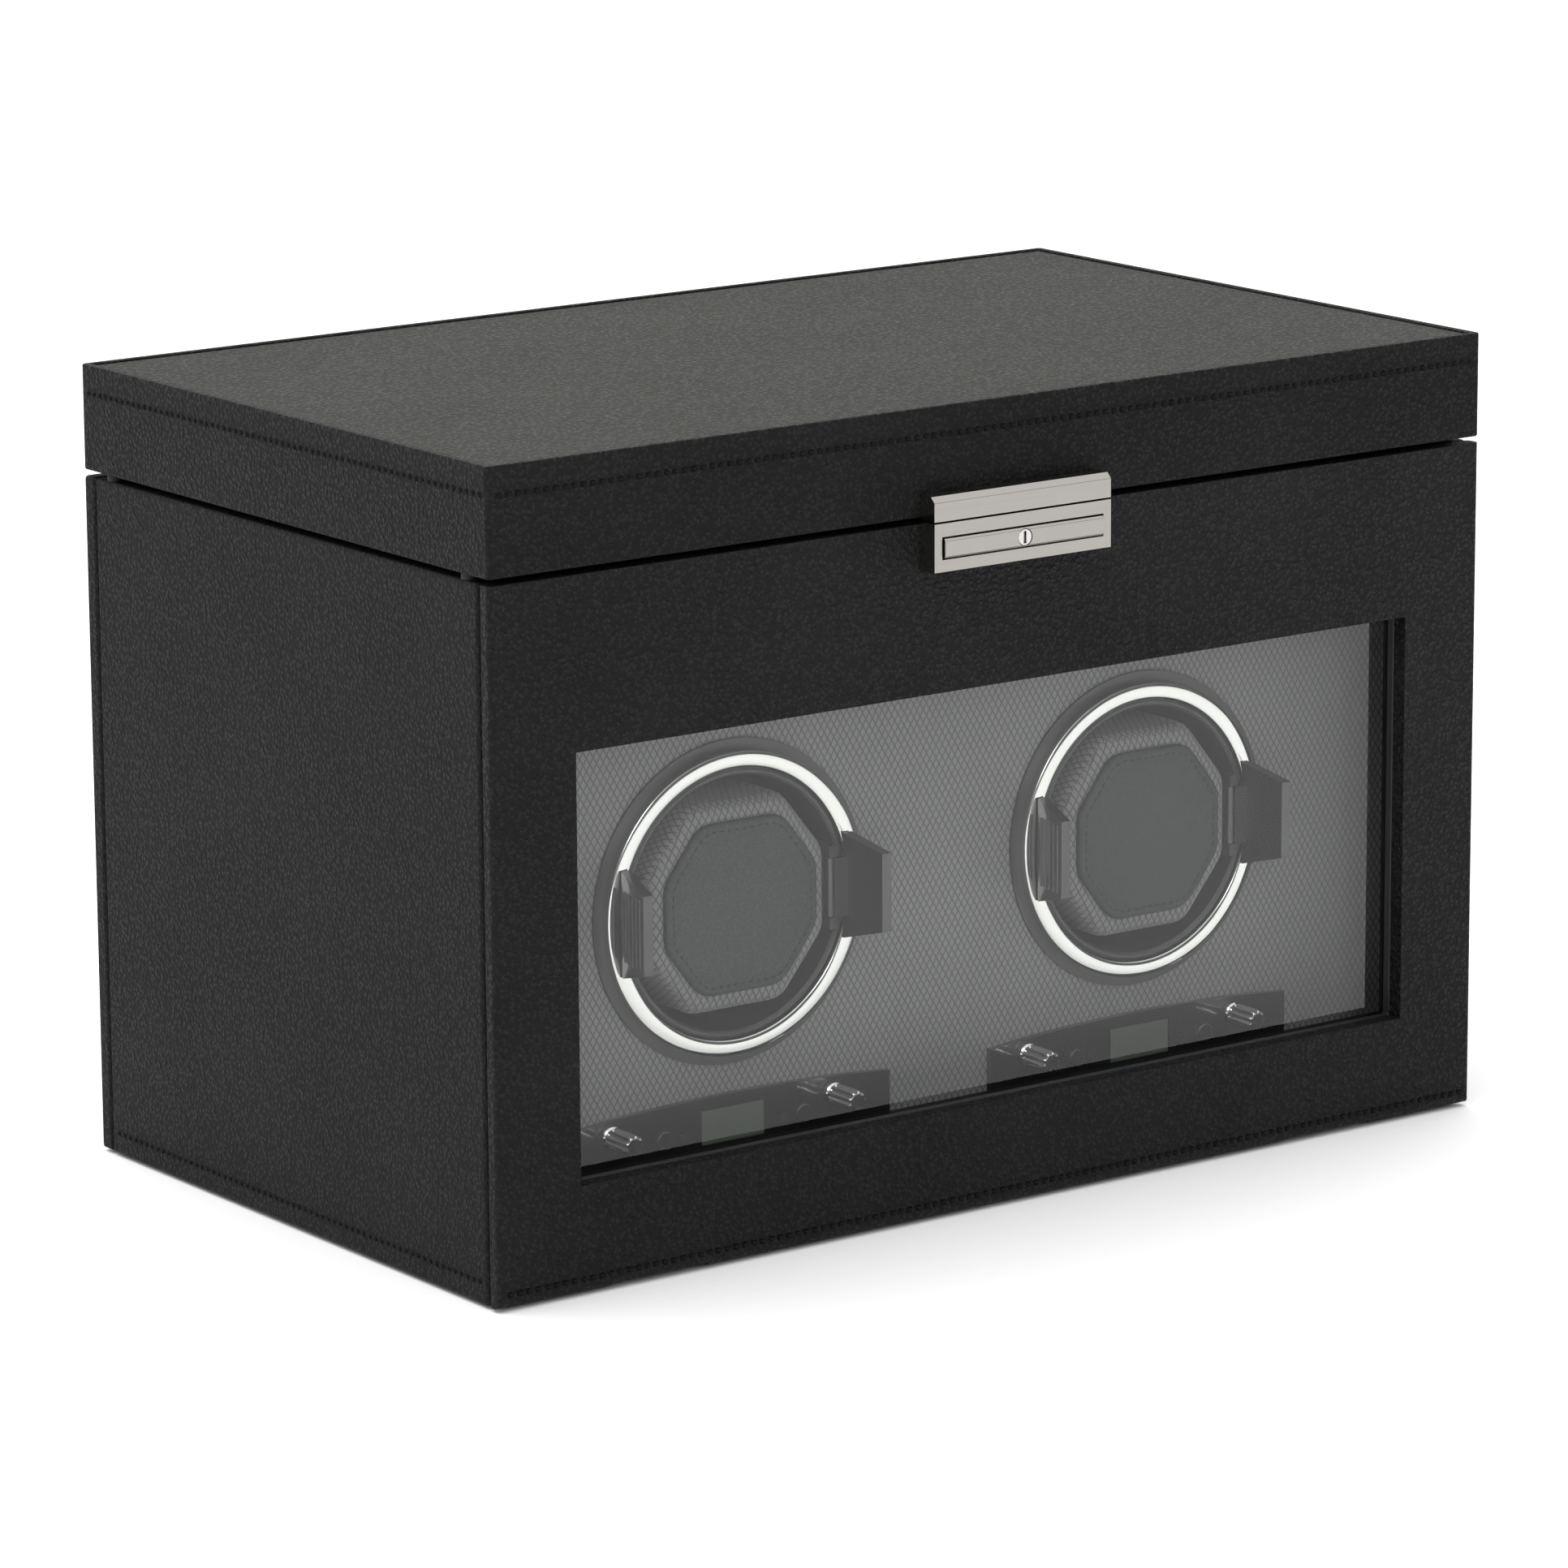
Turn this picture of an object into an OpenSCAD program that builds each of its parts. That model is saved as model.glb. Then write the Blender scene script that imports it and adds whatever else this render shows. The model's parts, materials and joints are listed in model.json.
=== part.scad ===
// Double watch winder box with a glazed drop front, a lidded storage tray and a push-bar lock.
// Frame: +X to the right, +Y to the back, +Z up, origin at the middle of the underside.

/* [Case] */
// Width of the case
case_w = 348; // [336:1:430]
// Depth of the case, from the door's face to the back board's
case_d = 206.5; // [172:0.5:260]
// Height of the case with its lid closed
case_h = 232.4; // [226:0.1:290]
// Thickness of the side panels and of the lid's rim
wall = 6; // [5:0.25:8]
// Thickness of the back panel
back_t = 6; // [5:0.25:9]
// Thickness of the base board
base_t = 7; // [5:0.25:9]
// Thickness of the shelf over the winder bay
shelf_t = 6; // [4:0.25:9]
// Thickness of the felt sheet under the base board
felt_t = 0.8; // [0.6:0.1:1.5]
// Radius of the outer upright edges
edge_r = 1.5; // [0.5:0.1:2.2]
// Height of the storage space, from the shelf to the case's edge
storage_h = 34.1; // [30:0.1:44]

/* [Lid] */
// Height of the lid
lid_h = 30.5; // [28:0.1:40]
// Gap between the lid and the case
lid_gap = 1.8; // [1.6:0.1:2.5]
// Thickness of the lid's top board
lid_top_t = 5.5; // [4:0.1:7]
// Width of the turned edge round the lid's top
ridge_w = 2.2; // [1.5:0.1:4]
// Height of the turned edge above the top board
ridge_rise = 0.5; // [0.2:0.1:1.5]
// Thickness of the lid's lining
lid_lining_t = 4.4; // [2:0.1:6]

/* [Front door] */
// Thickness of the front board
door_t = 5; // [4.6:0.1:6]
// Gap between the front board and the case
door_play = 0.3; // [0.3:0.05:0.6]
// Width of the board beside the window
window_side = 27.5; // [22:0.5:40]
// Height of the board below the window
window_foot = 30.4; // [27:0.1:40]
// Distance of the window's head below the shelf
window_head = 8.4; // [8.4:0.1:20]
// Depth of the black frame's lip in front of the glass
lip_t = 3; // [2:0.1:4]
// Width of the black frame outside the window
frame_margin = 7; // [6:0.1:7]
// Thickness of the window glass
glass_t = 2.5; // [2:0.1:3]
// Width of the glass held by the frame
glass_margin = 4; // [3:0.1:4.5]

/* [Winders] */
// Distance of each winder's axis from the middle
winder_x = 72.8; // [60:0.1:90]
// Height of the winders' axes
winder_z = 93.2; // [92:0.1:100]
// Depth of the fascia behind the door's face
fascia_depth = 33; // [31:0.1:40]
// Thickness of the fascia
fascia_t = 4; // [3:0.1:5]
// Inner radius of the bright bezel
bezel_r_in = 39; // [38:0.1:40]
// Width of the bezel's rounded section
bezel_w = 4.5; // [3:0.1:5]
// Outer radius of the housing's flange behind the bezel
flange_r = 46.5; // [45:0.1:50]
// Outer radius of the turning drum
drum_r = 38.5; // [36:0.1:38.6]
// Wall of the drum
drum_wall = 2; // [1.5:0.1:2.4]
// Length of the drum's cup
drum_len = 61.5; // [50:0.5:66]
// Radius of the drum's spindle
spindle_r = 4; // [3:0.1:6]
// Radial clearance of shafts and pins in their bores
shaft_play = 0.05; // [0.02:0.01:0.08]
// Distance from the drum's axis to the motor's
motor_offset = 30; // [26:0.5:30]

/* [Cuffs] */
// Width of the cuff's cushion
cushion_w = 61.6; // [56:0.1:61.6]
// Height of the cuff's cushion
cushion_h = 60.3; // [54:0.1:62]
// Width of the leather pad on the cuff
pad_w = 52; // [40:0.5:54]
// Height of the leather pad on the cuff
pad_h = 49; // [38:0.5:52]
// Thickness of the leather pad
pad_t = 2.5; // [1.5:0.1:3]
// Length of the finger tabs in front of the ring
tab_len = 14.6; // [10:0.1:15]
// Thickness of the finger tabs
tab_t = 3.2; // [2:0.1:4]
// Outward flare of the finger tabs
tab_flare = 3; // [0:0.1:4]

/* [Controls] */
// Width of each control panel
panel_w = 110; // [104:1:120]
// Height of each control panel
panel_h = 15.2; // [14.5:0.1:20]
// Thickness of each control panel
panel_t = 2; // [1.6:0.1:3]
// Height of the skirting under the fascia, from the base board
skirting_h = 15.5; // [12:0.1:18]
// Length of the selector knobs
knob_len = 12.5; // [8:0.1:14]
// Radius of the selector knobs over their ribs
knob_r = 3.25; // [2.5:0.05:3.5]
// Radius of the push buttons
button_r = 2.8; // [2:0.1:3.2]
// Travel of the push buttons
button_travel = 0.8; // [0.5:0.1:1]

/* [Lock] */
// Width of the lock
lock_w = 62; // [50:0.5:80]
// Distance the lock stands out from the door
lock_out = 7; // [6.5:0.1:8]
// Height of the lock's plate on the door
lock_h = 13.6; // [13:0.1:16]
// Height of the catch plate on the lid
catch_h = 7; // [5:0.1:10]
// Width of the push bar
bar_w = 55.8; // [40:0.1:55.8]
// Height of the push bar
bar_h = 5.5; // [4.5:0.1:6]

/* [Hinges] */
// Distance of each lid hinge from the middle
lid_hinge_x = 110; // [60:1:140]
// Length of a lid hinge
lid_hinge_len = 40; // [30:1:50]
// Outer radius of a lid hinge's barrel
lid_barrel_r = 2.4; // [2:0.1:2.45]
// Radius of the lid hinges' pins
lid_pin_r = 1.2; // [0.8:0.1:1.4]
// Distance of each door hinge from the middle
door_hinge_x = 120; // [60:1:145]
// Length of a door hinge
door_hinge_len = 30; // [24:1:50]
// Outer radius of a door hinge's barrel
door_barrel_r = 1.8; // [1.5:0.05:1.85]
// Radius of the door hinges' pins
door_pin_r = 0.9; // [0.6:0.05:1]

/* [Storage] */
// Height of the tray's dividers
divider_h = 25; // [15:0.5:28]
// Distance of the cross dividers from the middle
divider_x = 84; // [50:1:86]
// Depth of the watch cells, front to back
cell_d = 110; // [95:1:120]
// Size of a watch pillow along X, Y and Z
pillow_size = [62, 84, 30];

/* [Hidden] */
$fn = 64;
leather = [0.07, 0.07, 0.07];
satin_black = [0.10, 0.10, 0.10];
chrome = [0.80, 0.80, 0.82];
weave_grey = [0.42, 0.42, 0.44];

half_w = case_w / 2;
front = -case_d / 2;
back = case_d / 2;
body_top = case_h - lid_h - lid_gap;
lid_bottom = body_top + lid_gap;
case_front = front + door_t + door_play;
back_in = back - back_t;
side_in = half_w - wall;
floor_z = felt_t + base_t;
shelf_top = body_top - storage_h;
shelf_under = shelf_top - shelf_t;
felt_inset = 8;
slip = 0.1;                       // slack between pieces that are set into one another

// Lid
rim_ledge = case_h - ridge_rise - lid_top_t;
bumper = 5;

// Door
door_back = front + door_t;
pivot_y = front + door_t / 2;
pivot_z = felt_t + door_t / 2;
window_x = half_w - window_side;
window_z0 = felt_t + window_foot;
window_z1 = shelf_under - window_head;
glass_front = door_back + lip_t;
frame_back = glass_front + glass_t + 0.25;

// Winder bay
lining_t = 1.2;
fascia_y = front + fascia_depth;
fascia_back = fascia_y + fascia_t;
skirting_z = floor_z + skirting_h;

// Winder, along Y
flange_t = 0.8;
flange_y = fascia_y - flange_t;
barrel_play = 0.3;                // housing barrel in the fascia's hole
housing_r_in = drum_r + 0.8;
housing_r = housing_r_in + 2.2;
drum_front = fascia_y - 3.25;
drum_back = drum_front + drum_len;
drum_floor = 3;
housing_wall_y = drum_back + 1;
housing_wall_t = 3;
boss_r = spindle_r + 5;
boss_len = 10;
pulley_y = housing_wall_y + housing_wall_t + boss_len + 2;
pulley_t = 6;
pulley_r = 12.6;
motor_pulley_r = 3.6;
pulley_flange = 1.4;
belt_t = 1;
belt_gap = 0.25;
belt_w = 3.6;
motor_y = pulley_y + pulley_t + 4;
motor_shaft_r = 1.5;
post_x = 15;

// Cuff, along Y and outwards
cuff_front = fascia_y - 5;
core_w = 50;
core_h = 48;
cuff_disc_r = drum_r - drum_wall - 0.3;
cuff_disc_t = 5;
cuff_back = drum_back - drum_floor - 1;
rail_x = 31.1;
rail_t = 2.9;
rail_z = 12;
hub_r = 1.4;
hub_x = rail_x + hub_r;
hub_y = fascia_y - 3.55;
hub_z = 8.5;
trunnion_r = 0.7;
trunnion_z = 11.2;
tab_root_y = fascia_y - 4.45;
tab_x = 36.3;
tab_root_z = 15.5;
tab_end_z = 11;
rib_r = 0.5;

// Controls
panel_x = winder_x + 0.4;
panel_y = fascia_y - panel_t;
panel_rise = 2.5;                 // height of the arch over the panel's ends
display_w = 21.7;
display_h = 10;
display_z = 6.5;
button_x = 24;
control_z = 5.2;
light_x = 17.3;
light_r = 1;
knob_xs = [-42.5, 34.2];
knob_z = 9.5;
knob_gap = 0.2;
stem_r = 1.5;
board_y = fascia_back + 3.85;
board_t = 1.6;

// Lock
lock_front = front - lock_out;
lock_top = body_top + 0.9;
lock_bottom = lock_top - lock_h;
catch_bottom = lid_bottom - 0.4;
bar_z = lock_top - 7;
recess_gap = 0.45;
recess_depth = 3.6;
bar_front = lock_front - 0.95;
bar_t = 2.4;
guide_x = 18;
guide_r = 1.2;
cylinder_r = 2.3;
case_x = 14;                      // half width of the lock's case inside the board
case_bottom = lock_top - 12.5;
slot_x = 6.5;
tongue_x = 5.5;
tongue_y = front + 1.25;
tongue_t = 1.4;
tongue_bottom = lock_top - 8.7;
bolt_z = lock_top - 4.5;
bolt_h = 2.6;

// Hinges
lid_pivot_y = back + 2.5;
lid_pivot_z = body_top + lid_gap / 2;
leaf_t = 1.2;
lid_leaf_h = 22;
door_leaf_t = 1;
door_leaf_top = 22;
case_leaf_len = 18;
knuckle_gap = 0.2;
pin_head_t = 0.5;

// Storage tray
tray_t = 1.5;
tray_rise = 4.9;
tray_x = side_in - 0.4;
rail_back = case_front + 5.95;
tray_y0 = max(rail_back, front + wall) + 0.2;
tray_y1 = min(back_in, back - wall) - 0.25;
pillow_x = (divider_x + tray_x) / 2;
pillow_y = tray_y0 + tray_t + cell_d / 2;

// Power inlet
inlet_x = half_w - 44;
inlet_z = 30;
inlet_r = 5.5;

// ---------------------------------------------------------------- shared shapes

// A box between two corners.
module block(x0, x1, y0, y1, z0, z1) {
    translate([x0, y0, z0]) cube([x1 - x0, y1 - y0, z1 - z0]);
}

// Round bars along each axis.
module rod_x(r, x0, x1) {
    translate([x0, 0, 0]) rotate([0, 90, 0]) cylinder(r = r, h = x1 - x0);
}

module rod_y(r, y0, y1) {
    translate([0, y1, 0]) rotate([90, 0, 0]) cylinder(r = r, h = y1 - y0);
}

module rod_z(r, z0, z1) {
    translate([0, 0, z0]) cylinder(r = r, h = z1 - z0);
}

// A flat outline in X and Z, given depth along Y.
module slab_y(y0, y1) {
    translate([0, y1, 0]) rotate([90, 0, 0]) linear_extrude(height = y1 - y0) children();
}

// A flat outline in Y and Z, given width along X.
module slab_x(x0, x1) {
    translate([x0, 0, 0]) rotate([90, 0, 90]) linear_extrude(height = x1 - x0) children();
}

// A rectangle with round corners, made of straight and round pieces.
module soft_rect(w, d, r) {
    square([w - 2 * r, d], center = true);
    square([w, d - 2 * r], center = true);
    for (sx = [-1, 1], sy = [-1, 1]) {
        translate([sx * (w / 2 - r), sy * (d / 2 - r)]) circle(r = r);
    }
}

// A box with round upright edges.
module board(x0, x1, y0, y1, z0, z1, r) {
    translate([(x0 + x1) / 2, (y0 + y1) / 2, z0])
        linear_extrude(height = z1 - z0) soft_rect(x1 - x0, y1 - y0, r);
}

// An eight-sided outline: half width, half height, half of the top edge, half of the side edge.
module octagon(hw, hh, top, side) {
    polygon([
        [top, hh], [hw, side], [hw, -side], [top, -hh],
        [-top, -hh], [-hw, -side], [-hw, side], [-top, hh]
    ]);
}

// Places its children on one winder's axis.
module at_winder(side) {
    translate([side * winder_x, 0, winder_z]) children();
}

// Places its children at the lower middle of one control panel.
module at_panel(side) {
    translate([side * panel_x, 0, skirting_z]) children();
}

// ---------------------------------------------------------------- case

module felt_base() {
    color([0.12, 0.12, 0.13])
    block(-half_w + felt_inset, half_w - felt_inset, case_front + felt_inset,
          back - felt_inset, 0, felt_t);
}

module base_board() {
    color(satin_black)
    difference() {
        block(-side_in, side_in, case_front, back_in, felt_t, floor_z);
        for (side = [-1, 1]) {
            translate([side * door_hinge_x, 0, 0])
                block(-door_hinge_len / 2 - slip, door_hinge_len / 2 + slip,
                      case_front - 1, case_front + case_leaf_len,
                      pivot_z - door_leaf_t, pivot_z);
        }
    }
}

module side_panel(side) {
    inner = side * side_in;
    outer = side * half_w;
    color(leather)
    board(min(inner, outer), max(inner, outer), case_front, back_in, felt_t, body_top, edge_r);
}

module left_side_panel() {
    side_panel(-1);
}

module right_side_panel() {
    side_panel(1);
}

module back_panel() {
    color(leather)
    difference() {
        board(-half_w, half_w, back_in, back, felt_t, body_top, edge_r);
        translate([inlet_x, 0, inlet_z]) rod_y(inlet_r + slip, back_in - 1, back + 1);
    }
}

module shelf_board() {
    color(satin_black)
    block(-side_in, side_in, case_front, back_in, shelf_under, shelf_top);
}

// Closes the storage space at the front, behind the door's upper part.
module front_rail() {
    color(leather)
    block(-side_in, side_in, case_front, rail_back, shelf_top, body_top);
}

module lid_bumpers() {
    inset = wall / 2 + bumper / 2;
    color([0.05, 0.05, 0.05])
    for (sx = [-1, 1], sy = [-1, 1]) {
        translate([sx * (half_w - wall / 2), sy * (back_in - inset - edge_r), body_top])
            cylinder(r = bumper / 2, h = lid_gap - slip);
    }
}

module dc_inlet() {
    socket_r = 2.75;
    flange = 1.5;
    color(satin_black)
    translate([inlet_x, 0, inlet_z]) {
        difference() {
            union() {
                rod_y(inlet_r, back - 13, back);
                rod_y(inlet_r + 1.5, back, back + flange);
            }
            rod_y(socket_r, back - 9, back + flange + 1);
        }
        rod_y(1, back - 9.5, back - 0.5);
    }
}

// ---------------------------------------------------------------- winder bay

module fascia_panel() {
    color(weave_grey)
    difference() {
        block(-side_in + lining_t, side_in - lining_t, fascia_y, fascia_back,
              skirting_z, shelf_under);
        for (side = [-1, 1]) {
            at_winder(side) rod_y(housing_r + barrel_play, fascia_y - 1, fascia_back + 1);
            at_panel(side) control_bores(stem_r + 0.4, fascia_y - 1, fascia_back + 1);
        }
    }
}

// The holes of one panel's buttons and knobs.
module control_bores(r, y0, y1) {
    for (x = [-button_x, button_x]) {
        translate([x, 0, control_z]) rod_y(r, y0, y1);
    }
    for (x = knob_xs) {
        translate([x, 0, knob_z]) rod_y(r, y0, y1);
    }
}

// Floor and cheeks of the bay, with the skirting under the fascia.
module bay_lining() {
    color([0.06, 0.06, 0.06]) {
        block(-side_in, side_in, case_front, fascia_back, floor_z, floor_z + lining_t);
        for (side = [-1, 1]) {
            x0 = side > 0 ? side_in - lining_t : -side_in;
            block(x0, x0 + lining_t, case_front, fascia_back, floor_z, shelf_under);
        }
        block(-side_in, side_in, fascia_y - 1, fascia_back, floor_z, skirting_z);
    }
}

// Bright ring with a half-round front.
module bezel_rings() {
    r_mid = bezel_r_in + bezel_w / 2;
    straight = 0.9;
    color(chrome)
    for (side = [-1, 1]) {
        at_winder(side) translate([0, flange_y, 0]) rotate([90, 0, 0])
        rotate_extrude($fn = 96) {
            translate([bezel_r_in, 0]) square([bezel_w, straight]);
            intersection() {
                translate([r_mid, straight]) circle(r = bezel_w / 2);
                translate([bezel_r_in, 0]) square([bezel_w, bezel_w]);
            }
        }
    }
}

// Fixed cup of each winder: front flange, barrel, rear wall with the spindle's bearing, and
// the two posts that carry the motor.
module winder_housings() {
    wall_back = housing_wall_y + housing_wall_t;
    color([0.14, 0.14, 0.15])
    for (side = [-1, 1]) {
        at_winder(side) difference() {
            union() {
                rod_y(flange_r, flange_y, fascia_y);
                rod_y(housing_r, flange_y, wall_back);
                rod_y(boss_r, wall_back - 1, wall_back + boss_len);
                for (sx = [-1, 1]) {
                    translate([sx * post_x, 0, motor_offset]) rod_y(2, wall_back - 1, motor_y);
                }
            }
            rod_y(housing_r_in, flange_y - 1, housing_wall_y);
            rod_y(spindle_r + shaft_play, housing_wall_y - 1, wall_back + boss_len + 1);
        }
    }
}

module drive_motors() {
    gearbox_len = 14;
    can_len = 16;
    color([0.55, 0.55, 0.57])
    for (side = [-1, 1]) {
        at_winder(side) translate([0, 0, motor_offset]) difference() {
            union() {
                slab_y(motor_y, motor_y + 2) soft_rect(2 * post_x + 8, 16, 3);
                rod_y(10, motor_y + 1, motor_y + gearbox_len);
                rod_y(8, motor_y + gearbox_len - 1, motor_y + gearbox_len + can_len);
            }
            rod_y(motor_shaft_r + shaft_play, motor_y - 1, motor_y + 8);
        }
    }
}

// The outline round both pulleys, at a distance from their running faces.
module belt_outline(gap) {
    hull() {
        circle(r = pulley_r + gap, $fn = 48);
        translate([0, motor_offset]) circle(r = motor_pulley_r + gap, $fn = 48);
    }
}

module drive_belts() {
    y_mid = pulley_y + pulley_t / 2;
    color([0.05, 0.05, 0.05])
    for (side = [-1, 1]) {
        at_winder(side) slab_y(y_mid - belt_w / 2, y_mid + belt_w / 2) difference() {
            belt_outline(belt_gap + belt_t);
            belt_outline(belt_gap);
        }
    }
}

// A flanged pulley whose middle plane lies between y0 and y0 + pulley_t.
module pulley(r) {
    edge = 1;
    rod_y(r, pulley_y, pulley_y + pulley_t);
    rod_y(r + pulley_flange, pulley_y, pulley_y + edge);
    rod_y(r + pulley_flange, pulley_y + pulley_t - edge, pulley_y + pulley_t);
}

module motor_pulley(side) {
    color([0.75, 0.75, 0.70])
    at_winder(side) translate([0, 0, motor_offset]) {
        pulley(motor_pulley_r);
        rod_y(motor_shaft_r, pulley_y, motor_y + 7.5);
    }
}

module left_motor_pulley() {
    motor_pulley(-1);
}

module right_motor_pulley() {
    motor_pulley(1);
}

// Cup, spindle and drive pulley, which turn as one.
module drum(side) {
    color(satin_black)
    at_winder(side) {
        difference() {
            rod_y(drum_r, drum_front, drum_back);
            rod_y(drum_r - drum_wall, drum_front - 1, drum_back - drum_floor);
        }
        rod_y(spindle_r, drum_back - 1, pulley_y + pulley_t + 0.8);
        pulley(pulley_r);
    }
}

module left_drum() {
    drum(-1);
}

module right_drum() {
    drum(1);
}

// ---------------------------------------------------------------- cuffs

// Frame of a cuff: block inside the cushion, disc that seats in the drum, and the two rails
// that end in the tabs' forks.
module cuff_core(side) {
    disc_y = cuff_back - cuff_disc_t;
    rail_y = hub_y - 1.8;
    color([0.09, 0.09, 0.10])
    at_winder(side) difference() {
        union() {
            slab_y(cuff_front, cuff_back) octagon(core_w / 2, core_h / 2, 13, 10);
            rod_y(cuff_disc_r, disc_y, cuff_back);
            for (end = [-1, 1]) {
                x0 = end > 0 ? rail_x : -rail_x - rail_t;
                block(x0, x0 + rail_t, rail_y, disc_y + 1, -rail_z, rail_z);
            }
        }
        for (end = [-1, 1]) {
            x0 = end > 0 ? rail_x : -rail_x - rail_t;
            block(x0 - 1, x0 + rail_t + 1, rail_y - 1, hub_y + hub_r + 0.3,
                  -hub_z - knuckle_gap, hub_z + knuckle_gap);
            translate([end * hub_x, hub_y, 0])
                rod_z(trunnion_r + shaft_play, -rail_z - 1, rail_z + 1);
        }
    }
}

module left_cuff_core() {
    cuff_core(-1);
}

module right_cuff_core() {
    cuff_core(1);
}

module cuff_cushion(side) {
    disc_y = cuff_back - cuff_disc_t;
    color(weave_grey)
    at_winder(side) slab_y(cuff_front, disc_y) difference() {
        octagon(cushion_w / 2, cushion_h / 2, 16, 12);
        octagon(core_w / 2, core_h / 2, 13, 10);
    }
}

module left_cuff_cushion() {
    cuff_cushion(-1);
}

module right_cuff_cushion() {
    cuff_cushion(1);
}

module cuff_pad(side) {
    color([0.10, 0.11, 0.11])
    at_winder(side) slab_y(cuff_front - pad_t, cuff_front)
        octagon(pad_w / 2, pad_h / 2, 14, 11);
}

module left_cuff_pad() {
    cuff_pad(-1);
}

module right_cuff_pad() {
    cuff_pad(1);
}

// Finger tab: hub and trunnions in the cuff's fork, a short arm, and the flared, ribbed blade.
module cuff_tab(side, end) {
    tip_y = tab_root_y - tab_len;
    arm_t = 1.6;
    rib_count = 5;
    color([0.05, 0.05, 0.05])
    at_winder(side) mirror([end < 0 ? 1 : 0, 0, 0]) {
        intersection() {
            linear_extrude(height = 2 * tab_root_z, center = true) polygon([
                [tab_x, tab_root_y], [tab_x + tab_t, tab_root_y],
                [tab_x + tab_t + tab_flare, tip_y], [tab_x + tab_flare, tip_y]
            ]);
            slab_x(tab_x - 1, tab_x + tab_t + tab_flare + 1) polygon([
                [tab_root_y + 1, tab_root_z], [tip_y - 1, tab_end_z],
                [tip_y - 1, -tab_end_z], [tab_root_y + 1, -tab_root_z]
            ]);
        }
        for (i = [1 : rib_count]) {
            t = i / (rib_count + 1);
            translate([tab_x + tab_t + tab_flare * t, tab_root_y - tab_len * t, 0])
                rod_z(rib_r, -tab_end_z + 1, tab_end_z - 1);
        }
        block(hub_x, tab_x + 1, tab_root_y - arm_t, tab_root_y, -hub_z, hub_z);
        translate([hub_x, hub_y, 0]) {
            rod_z(hub_r, -hub_z, hub_z);
            rod_z(trunnion_r, -trunnion_z, trunnion_z);
        }
    }
}

module left_cuff_tab_a() {
    cuff_tab(-1, -1);
}

module left_cuff_tab_b() {
    cuff_tab(-1, 1);
}

module right_cuff_tab_a() {
    cuff_tab(1, -1);
}

module right_cuff_tab_b() {
    cuff_tab(1, 1);
}

// ---------------------------------------------------------------- controls

// Panel with an arched top edge, and the places of its display, lights, buttons and knobs.
module control_panel(side) {
    arch_r = (pow(panel_w / 2, 2) + pow(panel_rise, 2)) / (2 * panel_rise);
    color([0.04, 0.04, 0.05])
    at_panel(side) difference() {
        slab_y(panel_y, fascia_y) intersection() {
            translate([-panel_w / 2, 0]) square([panel_w, panel_h]);
            translate([0, panel_h - arch_r]) circle(r = arch_r, $fn = 1440);
        }
        translate([-display_w / 2, panel_y - 1, display_z - display_h / 2])
            cube([display_w, 2, display_h]);
        for (x = [-button_x, button_x]) {
            translate([x, 0, control_z]) rod_y(button_r + 0.15, panel_y - 1, fascia_y + 1);
        }
        for (x = knob_xs) {
            translate([x, 0, knob_z]) rod_y(stem_r + 0.3, panel_y - 1, fascia_y + 1);
        }
        for (x = [-light_x, light_x]) {
            translate([x, 0, control_z]) rod_y(light_r + shaft_play, panel_y - 1, panel_y + 1);
        }
    }
}

module left_control_panel() {
    control_panel(-1);
}

module right_control_panel() {
    control_panel(1);
}

module displays() {
    color([0.35, 0.38, 0.33])
    for (side = [-1, 1]) {
        at_panel(side) block(-display_w / 2 + slip, display_w / 2 - slip, panel_y + 0.2,
                             panel_y + 1, display_z - display_h / 2 + slip,
                             display_z + display_h / 2 - slip);
    }
}

module indicator_lights() {
    color([0.30, 0.05, 0.05])
    for (side = [-1, 1], x = [-light_x, light_x]) {
        at_panel(side) translate([x, 0, control_z]) rod_y(light_r, panel_y - 0.3, panel_y + 1);
    }
}

// Circuit board behind the fascia, with the switches and the rotary selectors on it.
module control_board() {
    margin = 6;
    switch_size = 6;
    selector_size = 8;
    switch_y = fascia_back + 2.05;
    color([0.05, 0.25, 0.12])
    difference() {
        union() {
            block(-panel_x - panel_w / 2, panel_x + panel_w / 2, board_y, board_y + board_t,
                  skirting_z - margin, skirting_z + panel_h);
            for (side = [-1, 1]) {
                at_panel(side) {
                    for (x = [-button_x, button_x]) {
                        block(x - switch_size / 2, x + switch_size / 2, switch_y, board_y + 0.5,
                              control_z - switch_size / 2, control_z + switch_size / 2);
                    }
                    for (x = knob_xs) {
                        block(x - selector_size / 2, x + selector_size / 2, fascia_back,
                              board_y + 0.5, knob_z - selector_size / 2,
                              knob_z + selector_size / 2);
                    }
                }
            }
        }
        for (side = [-1, 1], x = knob_xs) {
            at_panel(side) translate([x, 0, knob_z])
                rod_y(stem_r + shaft_play, fascia_back - 1, board_y);
        }
    }
}

// Selector knob: ribbed barrel on a stem that reaches the selector on the board.
module knob(side, x) {
    ribs = 12;
    knob_rib_r = 0.55;
    barrel_r = knob_r - 0.4;
    knob_back = panel_y - knob_gap;
    knob_front = knob_back - knob_len;
    color(chrome)
    at_panel(side) translate([x, 0, knob_z]) {
        rod_y(barrel_r, knob_front, knob_back);
        for (i = [0 : ribs - 1]) {
            rotate([0, i * 360 / ribs, 0]) translate([knob_r - knob_rib_r, 0, 0])
                rod_y(knob_rib_r, knob_front + 1.2, knob_back - 1);
        }
        rod_y(stem_r, knob_back - 1, board_y - 0.4);
    }
}

module left_knob_a() {
    knob(-1, knob_xs[0]);
}

module left_knob_b() {
    knob(-1, knob_xs[1]);
}

module right_knob_a() {
    knob(1, knob_xs[0]);
}

module right_knob_b() {
    knob(1, knob_xs[1]);
}

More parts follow.
